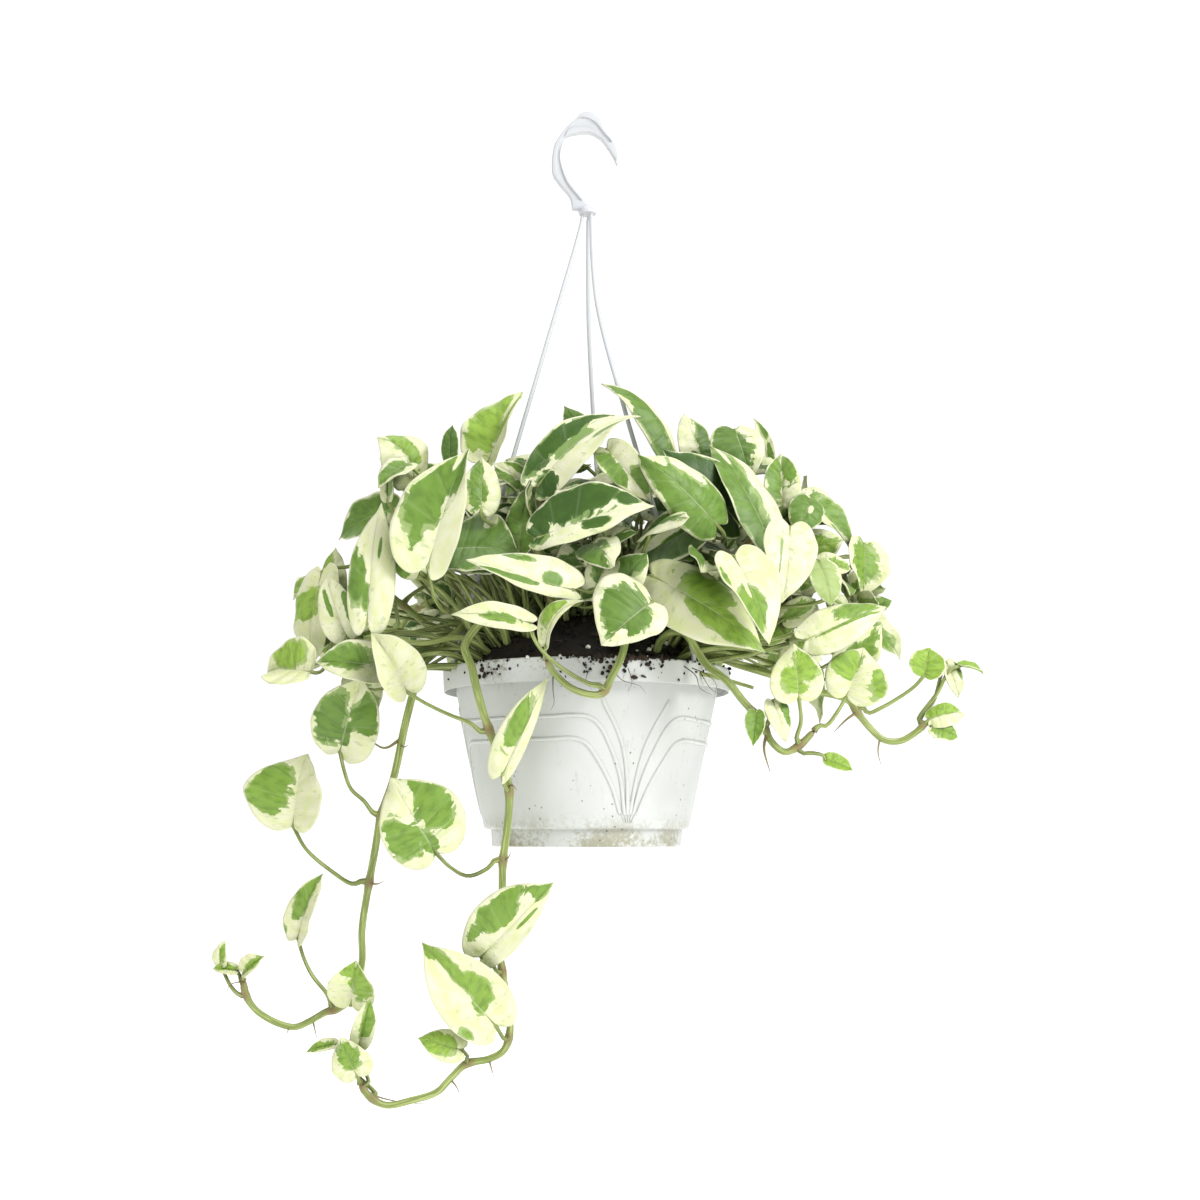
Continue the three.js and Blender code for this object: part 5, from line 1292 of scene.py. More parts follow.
def matt_floor(look):
    """A matt painted floor: white, even, with a faint roller texture, and lit a little by itself."""
    material, node = new_material("matt_painted_floor")
    where = node("NewGeometry")["Position"]
    stipple = node("TexNoise", {"Vector": where, "Scale": 1 / (6 * MM), "Detail": 2})[0]
    bump = node("Bump", {"Height": stipple, "Strength": 0.05, "Distance": 0.2 * MM})[0]
    paint = {
        "Base Color": opaque(look.floor_colour), "Roughness": 0.9, "Normal": bump,
        "Emission Color": opaque(look.floor_colour), "Emission Strength": look.floor_glow,
    }
    node("OutputMaterial", {"Surface": node("BsdfPrincipled", paint)[0]})
    return material


def wall_place(bearing, height, lift):
    """A place on the outside of the pot's wall, lifted off it a little."""
    share = (height - STEP_Z) / (RIM_Z - SKIRT_DEPTH - STEP_Z)
    radius = WALL_FOOT_RADIUS + (WALL_TOP_RADIUS - WALL_FOOT_RADIUS) * share
    return outward(bearing) * (radius + lift) + at(0, 0, height)


def pot_mesh(look, material):
    """The pot: a turned body with rounded edges, holes for the strands and raised lines."""
    skirt = RIM_Z - SKIRT_DEPTH
    flange = RIM_Z - FLANGE_THICKNESS
    wall_inside = WALL_TOP_RADIUS - WALL_THICKNESS
    section = softened([
        (0, BASE_Z + FOOT_RECESS),
        (FOOT_RADIUS - FOOT_RING, BASE_Z + FOOT_RECESS, 1),
        (FOOT_RADIUS - FOOT_RING, BASE_Z, 1),
        (FOOT_RADIUS - FOOT_TAPER, BASE_Z, 1.4),
        (FOOT_RADIUS, STEP_Z, 0.8),
        (WALL_FOOT_RADIUS, STEP_Z, 2.2),
        (WALL_TOP_RADIUS, skirt),
        (WALL_TOP_RADIUS, flange, 1),
        (RIM_RADIUS - SKIRT_THICKNESS, flange, 1),
        (RIM_RADIUS - SKIRT_THICKNESS, skirt, 0.6),
        (RIM_RADIUS - SKIRT_TAPER, skirt, 0.6),
        (RIM_RADIUS, RIM_Z, 2),
        (wall_inside, RIM_Z, 1),
        (wall_inside, skirt),
        (WALL_FOOT_RADIUS - WALL_THICKNESS, STEP_Z + FLOOR_THICKNESS),
        (FOOT_INSIDE, STEP_Z + FLOOR_THICKNESS),
        (FOOT_INSIDE, FLOOR_Z),
        (0, FLOOR_Z),
    ])
    body, holes = Shape(), Shape()
    body.add(*turned(section, POT_SEGMENTS))
    for bearing in STRAND_BEARINGS.values():
        ends = [strand_foot(bearing) + at(0, 0, RIM_Z + rise) for rise in (-5, 5)]
        holes.add(*tube(ends, STRAND_HOLE_RADIUS, 24)[:2])
    mesh = cut(body.mesh("pot_body", [material]), holes.mesh("strand_holes", [material]))
    lines = Shape()
    lift = (look.relief_height - look.relief_width / 2) / MM
    for middle in RELIEF_BEARINGS:
        for side in (-1, 1):
            for line in RELIEF_LINES:
                way = smooth_line([wall_place(middle + side * b, z, 0) for b, z in line], 2)
                way = [wall_place(math.degrees(math.atan2(x, -y)), z, lift) for x, y, z in way]
                radii = np.full(len(way), look.relief_width / MM / 2)
                radii[[0, -1]] *= 0.5
                lines.add(*tube(way, radii, 10)[:2])
        for k in (-2, -1, 0, 1, 2):
            top = wall_place(middle + k * FAN_SPREAD / 2, FAN_TOP_Z - abs(k) * 2, 0)
            foot = wall_place(middle + k * FAN_SPREAD / 6, FAN_FOOT_Z, 0)
            lines.add(*tube(respaced(np.array([top, foot]), 2), 0.6, 8)[:2])
    return joined("pot", mesh, lines.mesh("raised_lines", [material]))


def joined(name, *meshes):
    """Several meshes as one."""
    builder = bmesh.new()
    for mesh in meshes:
        builder.from_mesh(mesh)
    result = bpy.data.meshes.new(name)
    builder.to_mesh(result)
    builder.free()
    for material in meshes[0].materials:
        result.materials.append(material)
    result.polygons.foreach_set("use_smooth", [True] * len(result.polygons))
    result.set_sharp_from_angle(angle=math.radians(40))
    return result


def hook_edges():
    """The hook's outside and inside edges, each from the collar to the tip, in X and Z."""
    edges = [smooth_line(edge, HOOK_STEP) for edge in (HOOK_OUTSIDE, HOOK_INSIDE[::-1])]
    return [respaced(edge, lengths_along(edge)[-1] / HOOK_SPANS)[:, (0, 2)] for edge in edges]


def plate_mesh(name, outline, thickness, bevel, material):
    """A flat plate in the XZ plane with rounded edges, from its outline in X and Z."""
    curve = bpy.data.curves.new(name, "CURVE")
    curve.dimensions = "2D"
    curve.fill_mode = "BOTH"
    spline = curve.splines.new("POLY")
    spline.points.add(len(outline) - 1)
    for point, (x, z) in zip(spline.points, outline):
        point.co = (x * MM, z * MM, 0, 1)
    spline.use_cyclic_u = True
    curve.extrude = (thickness / 2 - bevel) * MM
    curve.bevel_depth = bevel * MM
    curve.bevel_resolution = 3
    curve.offset = -bevel * MM
    mesh = shaped(added(name, curve))
    builder = bmesh.new()
    builder.from_mesh(mesh)
    bmesh.ops.remove_doubles(builder, verts=builder.verts, dist=0.01 * MM)
    bmesh.ops.recalc_face_normals(builder, faces=builder.faces)
    builder.to_mesh(mesh)
    builder.free()
    mesh.transform(Matrix.Rotation(math.pi / 2, 4, "X"))
    mesh.materials.clear()
    mesh.materials.append(material)
    return mesh


def hook_mesh(material):
    """The hook: a rounded plate with a pocket in each face that leaves a web, and its collar."""
    outside, inside = hook_edges()
    body = plate_mesh("hook_plate", [*outside, *inside[::-1]], HOOK_THICKNESS, HOOK_BEVEL, material)
    first, last = (int(share * len(outside)) for share in WEB_STRETCH)
    outer, inner = outside[first:last], inside[first:last]
    across = (inner - outer) * POCKET_INSET
    pocket = [*(outer + across), *(inner - across)[::-1]]
    depth = (HOOK_THICKNESS - WEB_THICKNESS) / 2
    for side in (-1, 1):
        cutter = plate_mesh("pocket", pocket, 2 * depth, 0.4, material)
        cutter.transform(Matrix.Translation((0, side * HOOK_THICKNESS / 2 * MM, 0)))
        body = cut(body, cutter)
    collar = Shape()
    neck = COLLAR_RADIUS * 0.7
    collar.add(*turned(softened([
        (0, COLLAR_Z), (COLLAR_RADIUS, COLLAR_Z, 0.8), (COLLAR_RADIUS, COLLAR_Z + 3, 0.8),
        (neck, COLLAR_TOP_Z, 0.8), (0, COLLAR_TOP_Z),
    ]), 48))
    return joined("hanger_hook", body, collar.mesh("collar", [material]))


def strand_mesh(name, bearing, look, material):
    """A strand from its peg in the collar to its knob below the pot's flange."""
    top = outward(bearing) * STRAND_CIRCLE
    foot = strand_foot(bearing)
    knob_top = RIM_Z - FLANGE_THICKNESS - 0.3
    upper, lower = top + at(0, 0, COLLAR_Z - 5), foot + at(0, 0, RIM_Z + 3)
    way = [top + at(0, 0, COLLAR_Z + 2), top + at(0, 0, COLLAR_Z - 2), upper]
    for share, sideways in STRAND_BOWS[name]:
        way.append(upper + (lower - upper) * share + at(sideways, 0, 0))
    way += [lower, lower - at(0, 0, 2.5), foot + at(0, 0, knob_top - 1)]
    shape = Shape()
    line = smooth_line(way, 3)
    radii = np.full(len(line), look.strand_radius / MM)
    radii[:2] *= 0.62
    shape.add(*tube(line, radii, 16)[:2])
    builder = bmesh.new()
    bmesh.ops.create_cube(builder, size=1)
    bmesh.ops.scale(builder, vec=[size * MM for size in KNOB_SIZE], verts=builder.verts)
    edges = {"geom": builder.edges[:], "affect": "EDGES"}
    bmesh.ops.bevel(builder, offset=KNOB_BEVEL * MM, segments=3, profile=0.5, **edges)
    knob = bpy.data.meshes.new("knob")
    builder.to_mesh(knob)
    builder.free()
    centre = (foot + at(0, 0, knob_top - KNOB_SIZE[2] / 2)) * MM
    knob.transform(Matrix.Translation(centre) @ Matrix.Rotation(math.radians(bearing), 4, "Z"))
    return joined(name, shape.mesh("strand", [material]), knob)


def swell(spot):
    """How far the soil's wide swells lift it at a place."""
    return noise.noise(Vector(spot) * 0.09) * 3.5


def soil_top(radius):
    """The height of the soil's top at a distance from the axis."""
    share = np.minimum(radius / SOIL_RADIUS, 1)
    return RIM_Z - SOIL_EDGE_DROP + (SOIL_HEAP + SOIL_EDGE_DROP) * (1 - share**2.2)


def lump(rng, centre, size, stretch):
    """A small irregular lump of a size in millimetres."""
    builder = bmesh.new()
    bmesh.ops.create_icosphere(builder, subdivisions=2, radius=1)
    points = np.array([v.co[:] for v in builder.verts])
    faces = [[v.index for v in face.verts] for face in builder.faces]
    builder.free()
    salt = Vector((rng.uniform(0, 99), rng.uniform(0, 99), rng.uniform(0, 99)))
    bulges = [1 + 0.5 * noise.noise(Vector(p) * 1.3 + salt) for p in points]
    points = points * np.array(bulges)[:, None] * stretch * size
    turn = Matrix.Rotation(rng.uniform(0, 2 * math.pi), 3, "Z")
    lean = Matrix.Rotation(rng.uniform(-0.6, 0.6), 3, "X")
    return points @ np.array(turn @ lean).T + centre, faces


def soil_mesh(look, materials):
    """The soil: a lumpy heap down to the pot's floor, with crumbs, perlite and bark on it."""
    rng = random.Random(11)
    step = STEP_Z + FLOOR_THICKNESS + SOIL_LIFT
    section = [
        (0, FLOOR_Z + SOIL_LIFT),
        (FOOT_INSIDE - SOIL_GAP, FLOOR_Z + SOIL_LIFT),
        (FOOT_INSIDE - SOIL_GAP, step),
        (WALL_FOOT_RADIUS - WALL_THICKNESS - SOIL_GAP, step),
        (SOIL_RADIUS, RIM_Z - SKIRT_DEPTH),
    ]
    for radius in np.linspace(SOIL_RADIUS, 0, SOIL_RINGS):
        section.append((radius, float(soil_top(radius))))
    points, faces = turned(section, SOIL_SEGMENTS)
    for p in points[1 + 4 * SOIL_SEGMENTS :]:
        p[2] += swell(p) + noise.noise(Vector(p) * 0.35) * 1.4
    shape = Shape()
    shape.add(points, faces)
    peat, perlite, bark = 0, 1, 2
    kinds = [
        (peat, look.crumb_count, 0.7, 2.4),
        (perlite, look.perlite_count, 0.8, 2.2),
        (bark, BARK_COUNT, 1.6, 3.4),
    ]
    for slot, count, smallest, largest in kinds:
        for _ in range(count):
            radius = SOIL_RADIUS * math.sqrt(rng.random())
            spot = outward(rng.uniform(-180, 180)) * radius
            size = rng.uniform(smallest, largest)
            height = float(soil_top(radius)) + swell(spot) + size * 0.4
            stretch = (1.8, 0.8, 0.5) if slot == bark else (1, 0.85, 0.8)
            shape.add(*lump(rng, spot + at(0, 0, height), size, stretch), slot)
    for slot, middle, spread, smallest, largest, count in RIM_SPILLS:
        for _ in range(count):
            size = rng.uniform(smallest, largest)
            out = outward(rng.gauss(middle, spread / 2))
            spot = out * (RIM_RADIUS - rng.uniform(0, 8)) + at(0, 0, RIM_Z + size * 0.3)
            if rng.random() < 0.55:
                spot = out * RIM_RADIUS + at(0, 0, RIM_Z - SPILL_DROP * rng.random() ** 3)
            stretch = [rng.uniform(0.45, 1.5) for _ in range(3)]
            shape.add(*lump(rng, spot, size, stretch), slot)
    return shape.mesh("soil", materials)


def roots_mesh(material):
    """Dry root wisps that hang over the rim."""
    shape = Shape()
    for spots, radius in ROOT_WISPS:
        add_root(shape, smooth_line(spots, ROOT_STEP), radius)
    return shape.mesh("root_wisps", [material])


def stalks_mesh(material):
    """Bare stalks of shed leaves and of leaves further back, which cross over the soil."""
    draw = random.Random(3).uniform
    shape = Shape()
    for root, (left, top, right, bottom), depths, count in STALK_FANS:
        for _ in range(count):
            end = seen(draw(left, right), draw(top, bottom), draw(*depths))
            start = root + at(draw(-16, 12), draw(-6, 14), -3)
            reach = np.linalg.norm(end - start) * draw(0.25, 0.5)
            lean = unit(end - start) + at(draw(-0.5, 0.5), 0, draw(0, 1))
            turn_in = unit(end - start) + at(draw(-0.6, 0.6), 0, draw(-0.9, 0.3))
            line = bezier_line(start, start + lean * reach, end - turn_in * reach, end, PETIOLE_STEP)
            radii = draw(1.1, 2.3) * np.linspace(1.15, 0.75, len(line))
            points, faces, turns = tube(line, radii, PETIOLE_SIDES)
            paint = (0, draw(0.1, 0.9), draw(0, 40), 0)
            shape.add(points, faces, 0, turns, paint)
    return shape.mesh("bare_stalks", [material])


def sweep_mesh(height):
    """The floor, which rises in a wide curve to a wall far behind. Metres."""
    near, start, radius, top, half_width = -4, 1.8, 2.5, 9, 8
    angles = np.radians(np.arange(0, 91, 5))
    profile = [(near, 0)]
    profile += [(start + radius * math.sin(a), radius * (1 - math.cos(a))) for a in angles]
    profile.append((start + radius, top))
    points = [(x, y, height + z) for y, z in profile for x in (-half_width, half_width)]
    faces = [[2 * i, 2 * i + 1, 2 * i + 3, 2 * i + 2] for i in range(len(profile) - 1)]
    mesh = bpy.data.meshes.new("floor")
    mesh.from_pydata(points, [], faces)
    mesh.polygons.foreach_set("use_smooth", [True] * len(faces))
    return mesh


def random_look(rng):
    """A blade's pattern made up at random, in one of the ways that this plant's leaves have."""
    draw = rng.uniform
    side = rng.choice((-1, 1))
    way = rng.random()
    if way < 0.3:
        return [
            green(draw(-0.2, 0.2), 0.45, draw(0.5, 0.8), draw(0.4, 0.58), draw(-15, 15)),
            cream(side * 0.5, draw(0.5, 0.9), 0.3, 0.25, 30 * side),
        ]
    if way < 0.58:
        return [green(side * 0.6, 0.4, 0.7, 0.62, 8 * side), green(-side * 0.3, 0.3, 0.2, 0.28)]
    if way < 0.84:
        return [
            cream(side * 0.75, draw(0.4, 0.8), 0.5, 0.5, 20 * side),
            cream(-side * 0.6, draw(0.0, 0.3), 0.4, 0.25, -20 * side),
        ]
    return [green(draw(-0.5, 0.5), draw(0.2, 0.8), 0.3, 0.22, draw(-40, 40)) for _ in range(4)]


def prepared_leaves():
    """The leaves with a seed, a tone, a petiole's darkness and a pattern of their own."""
    placed = [{"on": stem, **leaf} for stem, leaves in LEAVES.items() for leaf in leaves]
    for index, leaf in enumerate(placed):
        rng = random.Random(100 + index)
        made = {"seed": index * 0.37 + 1, "tone": rng.uniform(0.25, 0.6)}
        made["petiole"] = rng.uniform(0.3, 1)
        made["skew"] = rng.uniform(-0.07, 0.07)
        made["look"] = random_look(rng)
        made["cup"], made["twist"] = rng.uniform(-0.22, 0.1), rng.uniform(-22, 22)
        placed[index] = {**made, **leaf}
    return placed


def stem_lines():
    """The line of each stem, and the joints on it."""
    lines = {name: smooth_line(spots, STEM_STEP) for name, spots in VINES.items()}
    joints = {}
    for stem, leaves in LEAVES.items():
        joints[stem] = [nearest(lines[stem], place(leaf["joint"]))[0] for leaf in leaves]
    return lines, joints


def coarse_samples(leaf):
    """A few places over a blade, to test how near it lies to others."""
    u, v = np.meshgrid([-0.9, -0.45, 0, 0.45, 0.9], [0.1, 0.25, 0.4, 0.55, 0.7, 0.85, 0.98])
    return blade_points(leaf, u.ravel(), v.ravel())


def filler_leaf(rng, index):
    """A leaf somewhere inside the mound, its face outwards and its tip out and down."""
    bearing = rng.uniform(-180, 180)
    rise = math.radians(rng.uniform(-8, 80))
    out = outward(bearing)
    reach = at(*(MOUND_RADII[:2]), 0) * math.cos(rise) + at(0, 0, MOUND_RADII[2]) * math.sin(rise)
    centre = MOUND_CENTRE + rng.uniform(0.42, 0.93) * (out * reach + at(0, 0, reach[2]))
    pitch = 15 + math.degrees(rise) * 0.6 + rng.uniform(-10, 15)
    return dressed_leaf(rng, index, centre, out, bearing, pitch, rng.uniform(34, 56))


def gap_leaf(rng, index, window, depths):
    """A smaller leaf in a window seen from in front, its face more to the viewer."""
    left, top, right, bottom = window
    centre = seen(rng.uniform(left, right), rng.uniform(top, bottom), rng.uniform(*depths))
    bearing = math.degrees(math.atan2(centre[0], 90))
    return dressed_leaf(
        rng, index, centre, outward(bearing), bearing * 0.5, rng.uniform(0, 35), rng.uniform(22, 42)
    )


def dressed_leaf(rng, index, centre, out, yaw, pitch, length):
    """A leaf round a place, with a lie, a shape and a pattern made up at random."""
    draw = rng.uniform
    sideways = np.cross(out, at(0, 0, 1)) * draw(-0.9, 0.9)
    along = unit(out * 0.6 + sideways + at(0, 0, draw(-0.6, 0.7)))
    return {
        "base": centre - along * length / 2,
        "tip": centre + along * length / 2,
        "width": length * draw(0.58, 0.78),
        "yaw": yaw + draw(-25, 25),
        "pitch": pitch,
        "arch": draw(0.04, 0.1),
        "fold": draw(6, 18),
        "bow": draw(-0.05, 0.05),
        "skew": draw(-0.07, 0.07),
        "seed": index * 0.41 + 60,
        # A filling leaf is darker than a named one, as painted shade inside the mound.
        "tone": draw(0.05, 0.4),
        "petiole": draw(0.4, 1),
        "look": random_look(rng),
        "cup": draw(-0.22, 0.08),
        "twist": draw(-16, 16),
    }


class Room:
    """Keeps the places that leaves and strands take up, and says whether a leaf still fits."""

    def __init__(self, leaves):
        self.taken = [p for leaf in leaves for p in coarse_samples(leaf)]
        for bearing in STRAND_BEARINGS.values():
            top = outward(bearing) * STRAND_CIRCLE + at(0, 0, COLLAR_Z)
            foot = strand_foot(bearing) + at(0, 0, RIM_Z)
            self.taken += list(respaced(np.array([top, foot]), 5))
        self.low, self.high = (np.array(corner) / MM for corner in CAD_BOX)
        self.tree = None

    def fits(self, leaf, clearance):
        """Whether a leaf lies clear of all that is there, of the soil and of the open windows."""
        spots = coarse_samples(leaf)
        radius = np.hypot(spots[:, 0], spots[:, 1])
        on_soil = spots[:, 2] < np.where(radius < RIM_RADIUS + 8, soil_top(radius) + 8, RIM_Z - 30)
        outside = (spots < self.low).any() or (spots > self.high).any()
        if on_soil.any() or outside or in_open_view(spots):
            return False
        if self.tree is None:
            self.tree = kdtree.KDTree(len(self.taken))
            for i, p in enumerate(self.taken):
                self.tree.insert(p, i)
            self.tree.balance()
        return min(self.tree.find(p)[2] for p in spots) >= clearance

    def take(self, leaf):
        """Adds a leaf to what is there."""
        self.taken += list(coarse_samples(leaf))
        self.tree = None


def filler_leaves(count, leaves):
    """Leaves that fill the mound where the others leave room, each clear of what is there."""
    rng = random.Random(5)
    room = Room(leaves)
    made = []
    for window, depths, tones, wanted in GAP_FILLS:
        for _ in range(wanted * GAP_TRIES):
            leaf = {**gap_leaf(rng, len(made) + 300, window, depths), "tone": rng.uniform(*tones)}
            if room.fits(leaf, GAP_CLEARANCE):
                made.append(leaf)
                room.take(leaf)
                wanted -= 1
            if not wanted:
                break
    count += len(made)
    for index in range(FILLER_TRIES):
        if len(made) == count:
            break
        leaf = filler_leaf(rng, index)
        # Painted shade: filling leaves in the middle of the mound stay darker, those towards its sides
        # brighter.
        leaf["tone"] += 0.3 * abs(leaf["base"][0]) / MOUND_RADII[0]
        if room.fits(leaf, FILLER_CLEARANCE):
            made.append(leaf)
            room.take(leaf)
    return made


def filler_petiole(rng, leaf):
    """The line of a petiole that rises beside the nearest stem's root and bends to its blade."""
    base, _, _, along, face = leaf_frame(leaf)
    roots = [spots[0] for name, spots in VINES.items() if name != "vine_front_loop"]
    root = min(roots, key=lambda spot: np.linalg.norm(base * (0.5, 0.5, 0) - spot * (1, 1, 0)))
    start = root * 0.94 + at(rng.gauss(0, 10), rng.gauss(0, 10), 0)
    radius = np.hypot(start[0], start[1])
    start[2] = soil_top(radius) - 4
    reach = np.linalg.norm(base - start) / 3
    bend = base - unit(along * 0.7 + face * 0.3 + at(rng.uniform(-0.4, 0.4), 0, 0.5)) * reach
    lean = unit(unit(start * (1, 1, 0)) * rng.uniform(-0.3, 0.9) + at(rng.uniform(-0.3, 0.3), 0, 1))
    return bezier_line(start, start + lean * reach, bend, base, FILLER_STEP)


def colour_setting(name, description, colour):
    """A colour that a user may change."""
    return FloatVectorProperty(
        name=name, description=description, subtype="COLOR", size=3, min=0, max=1,
        default=linear(colour),
    )


def number_setting(name, description, default, kind=FloatProperty, **limits):
    """A number that a user may change, at least 0 unless its limits say otherwise."""
    return kind(name=name, description=description, default=default, **{"min": 0, **limits})


def length_setting(name, description, millimetres):
    """A length that a user may change."""
    return number_setting(name, description, millimetres * MM, unit="LENGTH", precision=4)


SHARE = {"subtype": "FACTOR", "max": 1}
POWER = {"unit": "POWER"}


class PotSettings(bpy.types.PropertyGroup):
    """Sizes and colours of the pot and the hanger."""

    colour: colour_setting("Plastic", "Colour of the white plastic", "#D3D5D3")
    shade: colour_setting("Plastic shade", "Colour of its slightly darker clouds", "#C8CBC5")
    hanger: colour_setting("Hanger", "Colour of the hook and the strands", "#C9CBD5")
    roughness: number_setting("Roughness", "How matt the plastic is", 0.4, **SHARE)
    soil_marks: number_setting("Soil marks", "Strength of the dirt on the pot", 1, **SHARE)
    relief_height: length_setting("Relief height", "How far the raised lines stand out", 1.1)
    relief_width: length_setting("Relief width", "Width of the raised lines", 3.0)
    strand_radius: length_setting("Strand radius", "Radius of the hanger's strands", 1.6)


class SoilSettings(bpy.types.PropertyGroup):
    """Colours and contents of the soil."""

    peat: colour_setting("Peat", "Colour of the moist peat", "#0E0C09")
    fibre: colour_setting("Fibre", "Colour of the drier fibre", "#201B12")
    bark: colour_setting("Bark", "Colour of the bark chips", "#3A2618")
    perlite: colour_setting("Perlite", "Colour of the perlite", "#ECE9E0")
    root: colour_setting("Root", "Colour of the dry roots", "#5C4330")
    crumb_count: number_setting("Crumbs", "Number of crumbs", 420, IntProperty)
    perlite_count: number_setting("Perlite bits", "Number of perlite bits", 60, IntProperty)


class PlantSettings(bpy.types.PropertyGroup):
    """Colours and pattern of the leaves and stems."""

    cream: colour_setting("Cream", "Colour of the cream parts of a leaf", "#F1F1D2")
    yellow_cream: colour_setting("Yellow cream", "Colour of its yellower clouds", "#E0E99C")
    dark_green: colour_setting("Dark green", "Colour of the darkest leaves", "#3F6122")
    mid_green: colour_setting("Mid green", "Colour of the middle leaves", "#799E40")
    bright_green: colour_setting("Bright green", "Colour of the brightest leaves", "#A0C44E")
    grey_green: colour_setting("Grey green", "Colour where dark green thins out", "#84A25A")
    pale_green: colour_setting("Pale green", "Colour where bright green thins out", "#B0C67A")
    underside: colour_setting("Underside", "Colour that veils the underside", "#AFBF78")
    roughness: number_setting("Leaf roughness", "How matt the leaves are", 0.42, **SHARE)
    glow: number_setting("Glow", "How much light shines through a leaf", 0.14, **SHARE)
    vein_bands: number_setting("Vein bands", "Number of side veins on each half of a leaf", 11)
    grey_reach: number_setting("Grey zone", "How far the grey-green zone reaches in", 0.08, **SHARE)
    stem_green: colour_setting("Stem", "Colour of the stems", "#8A9A54")
    stem_pale: colour_setting("Stem streak", "Colour of the pale streaks on them", "#AEBA74")
    stem_dark: colour_setting("Petiole shade", "Colour of the dark lines on petioles", "#434A22")
    scar: colour_setting("Scar", "Colour of the scars at the nodes", "#8A7350")
    filler_count: number_setting(
        "Filling leaves", "Number of leaves that fill the mound", 150, IntProperty
    )


class StageSettings(bpy.types.PropertyGroup):
    """The floor and the light."""

    floor_colour: colour_setting("Floor", "Colour of the floor", "#FBFBFB")
    floor_glow: number_setting("Floor glow", "How much the floor is lit by itself", 0.42)
    floor_drop: length_setting("Floor drop", "How far the floor lies below the lowest leaf", 45)
    sky: number_setting("Sky", "Strength of the light all round", 0.42)
    key_power: number_setting("Key light", "Power of the soft light from the right", 49, **POWER)
    fill_power: number_setting("Fill light", "Power of the soft light from the left", 5, **POWER)
    top_power: number_setting("Top light", "Power of the soft light from above", 18, **POWER)


def leaf_materials(look):
    """The blade's and the stem's materials, made once."""
    blade = bpy.data.materials.get("waxy_leaf_blade") or waxy_leaf_blade(look)
    stem = bpy.data.materials.get("living_green_stem") or living_stem(look)
    return [blade, stem]


class POTHOS_OT_pot(bpy.types.Operator):
    """Builds the pot with its raised lines"""

    bl_idname = "pothos.build_pot"
    bl_label = "Build Pot"

    def execute(self, context):
        look = context.scene.pothos_pot
        material = moulded_polypropylene("moulded_polypropylene_soiled_painted_shade", look, look.colour, True)
        add_piece("white_pot", pot_mesh(look, material), ["pot"])
        return {"FINISHED"}


class POTHOS_OT_hanger(bpy.types.Operator):
    """Builds the hook and its three strands"""

    bl_idname = "pothos.build_hanger"
    bl_label = "Build Hanger"

    def execute(self, context):
        look = context.scene.pothos_pot
        material = moulded_polypropylene("moulded_polypropylene_clean", look, look.hanger, False)
        add_piece("moulded_hook", hook_mesh(material), ["hanger_hook"])
        for name, bearing in STRAND_BEARINGS.items():
            mesh = strand_mesh(name, bearing, look, material)
            add_piece("moulded_" + name.removeprefix("hanger_"), mesh, [name])
        return {"FINISHED"}


class POTHOS_OT_soil(bpy.types.Operator):
    """Builds the soil with its perlite, bark and roots"""

    bl_idname = "pothos.build_soil"
    bl_label = "Build Soil"

    def execute(self, context):
        look = context.scene.pothos_soil
        materials = [
            moist_peat_mix(look),
            dry_bits("expanded_perlite", look.perlite, [c * 0.8 for c in look.perlite], 1.2),
            dry_bits("pine_bark_chip", look.bark, look.fibre, 2),
        ]
        add_piece("heaped_soil", soil_mesh(look, materials), ["soil"])
        root = dry_bits("dry_root", look.root, look.fibre, 1.5)
        add_piece("root_wisps", roots_mesh(root))
        return {"FINISHED"}


class POTHOS_OT_stems(bpy.types.Operator):
    """Builds the stems with the small leaves that belong to them"""

    bl_idname = "pothos.build_stems"
    bl_label = "Build Stems"

    def execute(self, context):
        blade, stem = leaf_materials(context.scene.pothos_plant)
        lines, joints = stem_lines()
        leaves = prepared_leaves()
        for name, line in lines.items():
            shape = Shape()
            add_stem(shape, name, line, joints[name], 0)
            for leaf in leaves:
                if leaf["on"] == name and "name" not in leaf:
                    add_leaf(shape, leaf, line, 1, 0)
            for spots, radius in STEM_NUBS.get(name, []):
                add_root(shape, smooth_line(spots, ROOT_STEP), radius)
            piece_name = "living_" + name.removeprefix("vine_") + "_vine"
            add_piece(piece_name, shape.mesh(name, [stem, blade]), [name])
        return {"FINISHED"}


class POTHOS_OT_leaves(bpy.types.Operator):
    """Builds the large leaves, each a piece of its own"""

    bl_idname = "pothos.build_leaves"
    bl_label = "Build Leaves"

    def execute(self, context):
        materials = leaf_materials(context.scene.pothos_plant)
        lines, _ = stem_lines()
        for leaf in prepared_leaves():
            if "name" not in leaf:
                continue
            shape = Shape()
            add_leaf(shape, leaf, lines[leaf["on"]], 0, 1)
            piece_name = "waxy_" + leaf["name"]
            add_piece(piece_name, shape.mesh(piece_name, materials), [leaf["name"]])
        return {"FINISHED"}


class POTHOS_OT_mound(bpy.types.Operator):
    """Builds the leaves that fill the mound, on petioles from the soil, and some bare stalks"""

    bl_idname = "pothos.build_mound"
    bl_label = "Build Filling Leaves"

    def execute(self, context):
        look = context.scene.pothos_plant
        materials = leaf_materials(look)
        add_piece("bare_stalks", stalks_mesh(materials[1]))
        fillers = filler_leaves(look.filler_count, prepared_leaves())
        rng = random.Random(23)
        for group in range(FILLER_GROUPS):
            shape = Shape()
            for leaf in fillers[group::FILLER_GROUPS]:
                add_blade(shape, leaf, 0, MOUND_BLADE_GRID)
                add_petiole(shape, leaf, filler_petiole(rng, leaf), 1)
            name = f"mound_leaves_{group + 1}"
            add_piece(name, shape.mesh(name, materials))
        return {"FINISHED"}


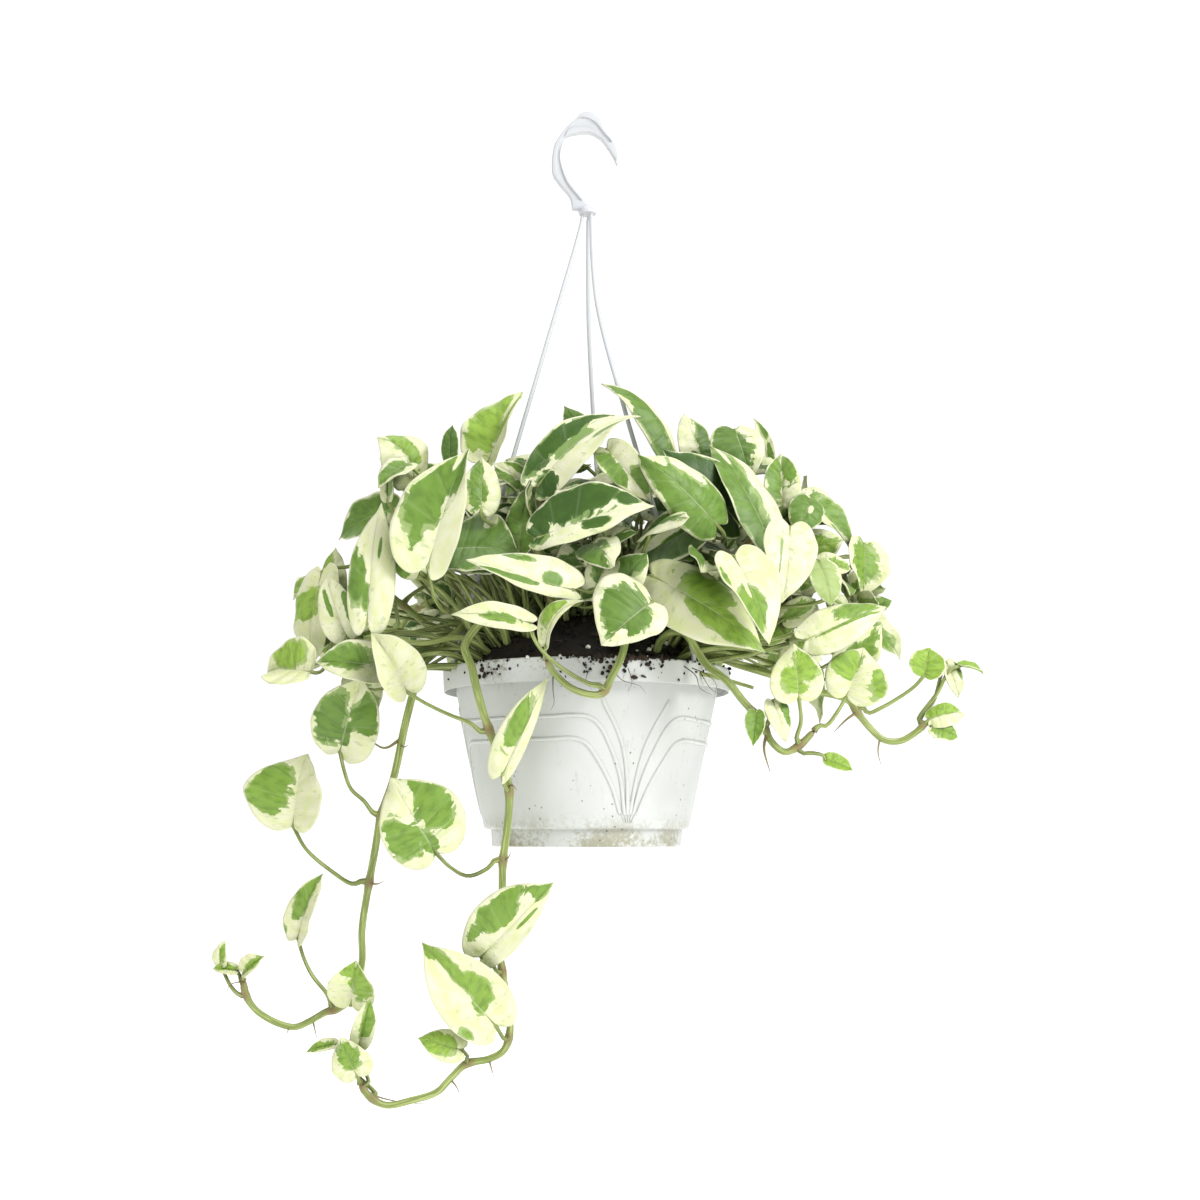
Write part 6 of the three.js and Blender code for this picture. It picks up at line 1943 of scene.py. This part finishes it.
class POTHOS_OT_stage(bpy.types.Operator):
    """Lays the floor and sets the light and the camera"""

    bl_idname = "pothos.build_stage"
    bl_label = "Build Stage"

    def execute(self, context):
        look = context.scene.pothos_stage
        scene = context.scene
        floor_mesh = sweep_mesh(CAD_BOX[0].z - look.floor_drop)
        floor_mesh.materials.append(matt_floor(look))
        added("floor", floor_mesh)

        world = bpy.data.worlds.new("soft_white")
        world.use_nodes = True
        sky = world.node_tree.nodes["Background"]
        sky.inputs["Color"].default_value = (1, 1, 1, 1)
        sky.inputs["Strength"].default_value = look.sky
        scene.world = world
        aim = Vector((0, 0, -0.38))
        lamps = [
            ("key", look.key_power, (1.5, -1.5, 0.9), 1.0),
            ("fill", look.fill_power, (-1.8, -1.2, 0.1), 1.8),
            ("top", look.top_power, (-0.2, 0.1, 1.7), 1.2),
        ]
        for name, power, spot, width in lamps:
            lamp = bpy.data.lights.new(name, "AREA")
            lamp.energy, lamp.size = power, width
            light = added(name, lamp)
            light.location = spot
            light.rotation_euler = (Vector(spot) - aim).to_track_quat("Z", "Y").to_euler()
        scene.view_settings.view_transform = "Standard"

        eye = bpy.data.cameras.new("eye")
        eye.sensor_width = SENSOR_WIDTH
        eye.lens = PICTURE_DEPTH / PICTURE_WIDTH * SENSOR_WIDTH
        camera = added("eye", eye)
        camera.location = Vector(EYE) * MM
        camera.rotation_euler = (math.pi / 2 + EYE_TILT, 0, 0)
        scene.camera = camera
        return {"FINISHED"}


SETTINGS = {
    "pothos_pot": PotSettings,
    "pothos_soil": SoilSettings,
    "pothos_plant": PlantSettings,
    "pothos_stage": StageSettings,
}
OPERATORS = [
    POTHOS_OT_pot, POTHOS_OT_hanger, POTHOS_OT_soil, POTHOS_OT_stems, POTHOS_OT_leaves,
    POTHOS_OT_mound, POTHOS_OT_stage,
]


class POTHOS_PT_panel(bpy.types.Panel):
    """Lists what builds the plant, with its settings"""

    bl_idname = "POTHOS_PT_panel"
    bl_label = "Hanging Pothos"
    bl_space_type = "VIEW_3D"
    bl_region_type = "UI"
    bl_category = "Pothos"

    def draw(self, context):
        for operator in OPERATORS:
            self.layout.operator(operator.bl_idname)
        for group, settings in SETTINGS.items():
            box = self.layout.box()
            for name in settings.__annotations__:
                box.prop(getattr(context.scene, group), name)


CLASSES = [*SETTINGS.values(), *OPERATORS, POTHOS_PT_panel]


def register():
    for kind in CLASSES:
        bpy.utils.register_class(kind)
    for name, settings in SETTINGS.items():
        setattr(bpy.types.Scene, name, PointerProperty(type=settings))


def unregister():
    for name in SETTINGS:
        delattr(bpy.types.Scene, name)
    for kind in reversed(CLASSES):
        bpy.utils.unregister_class(kind)


def main():
    register()
    bpy.ops.pothos.build_pot()
    bpy.ops.pothos.build_hanger()
    bpy.ops.pothos.build_soil()
    bpy.ops.pothos.build_stems()
    bpy.ops.pothos.build_leaves()
    bpy.ops.pothos.build_mound()
    bpy.ops.pothos.build_stage()


if __name__ == "__main__":
    main()
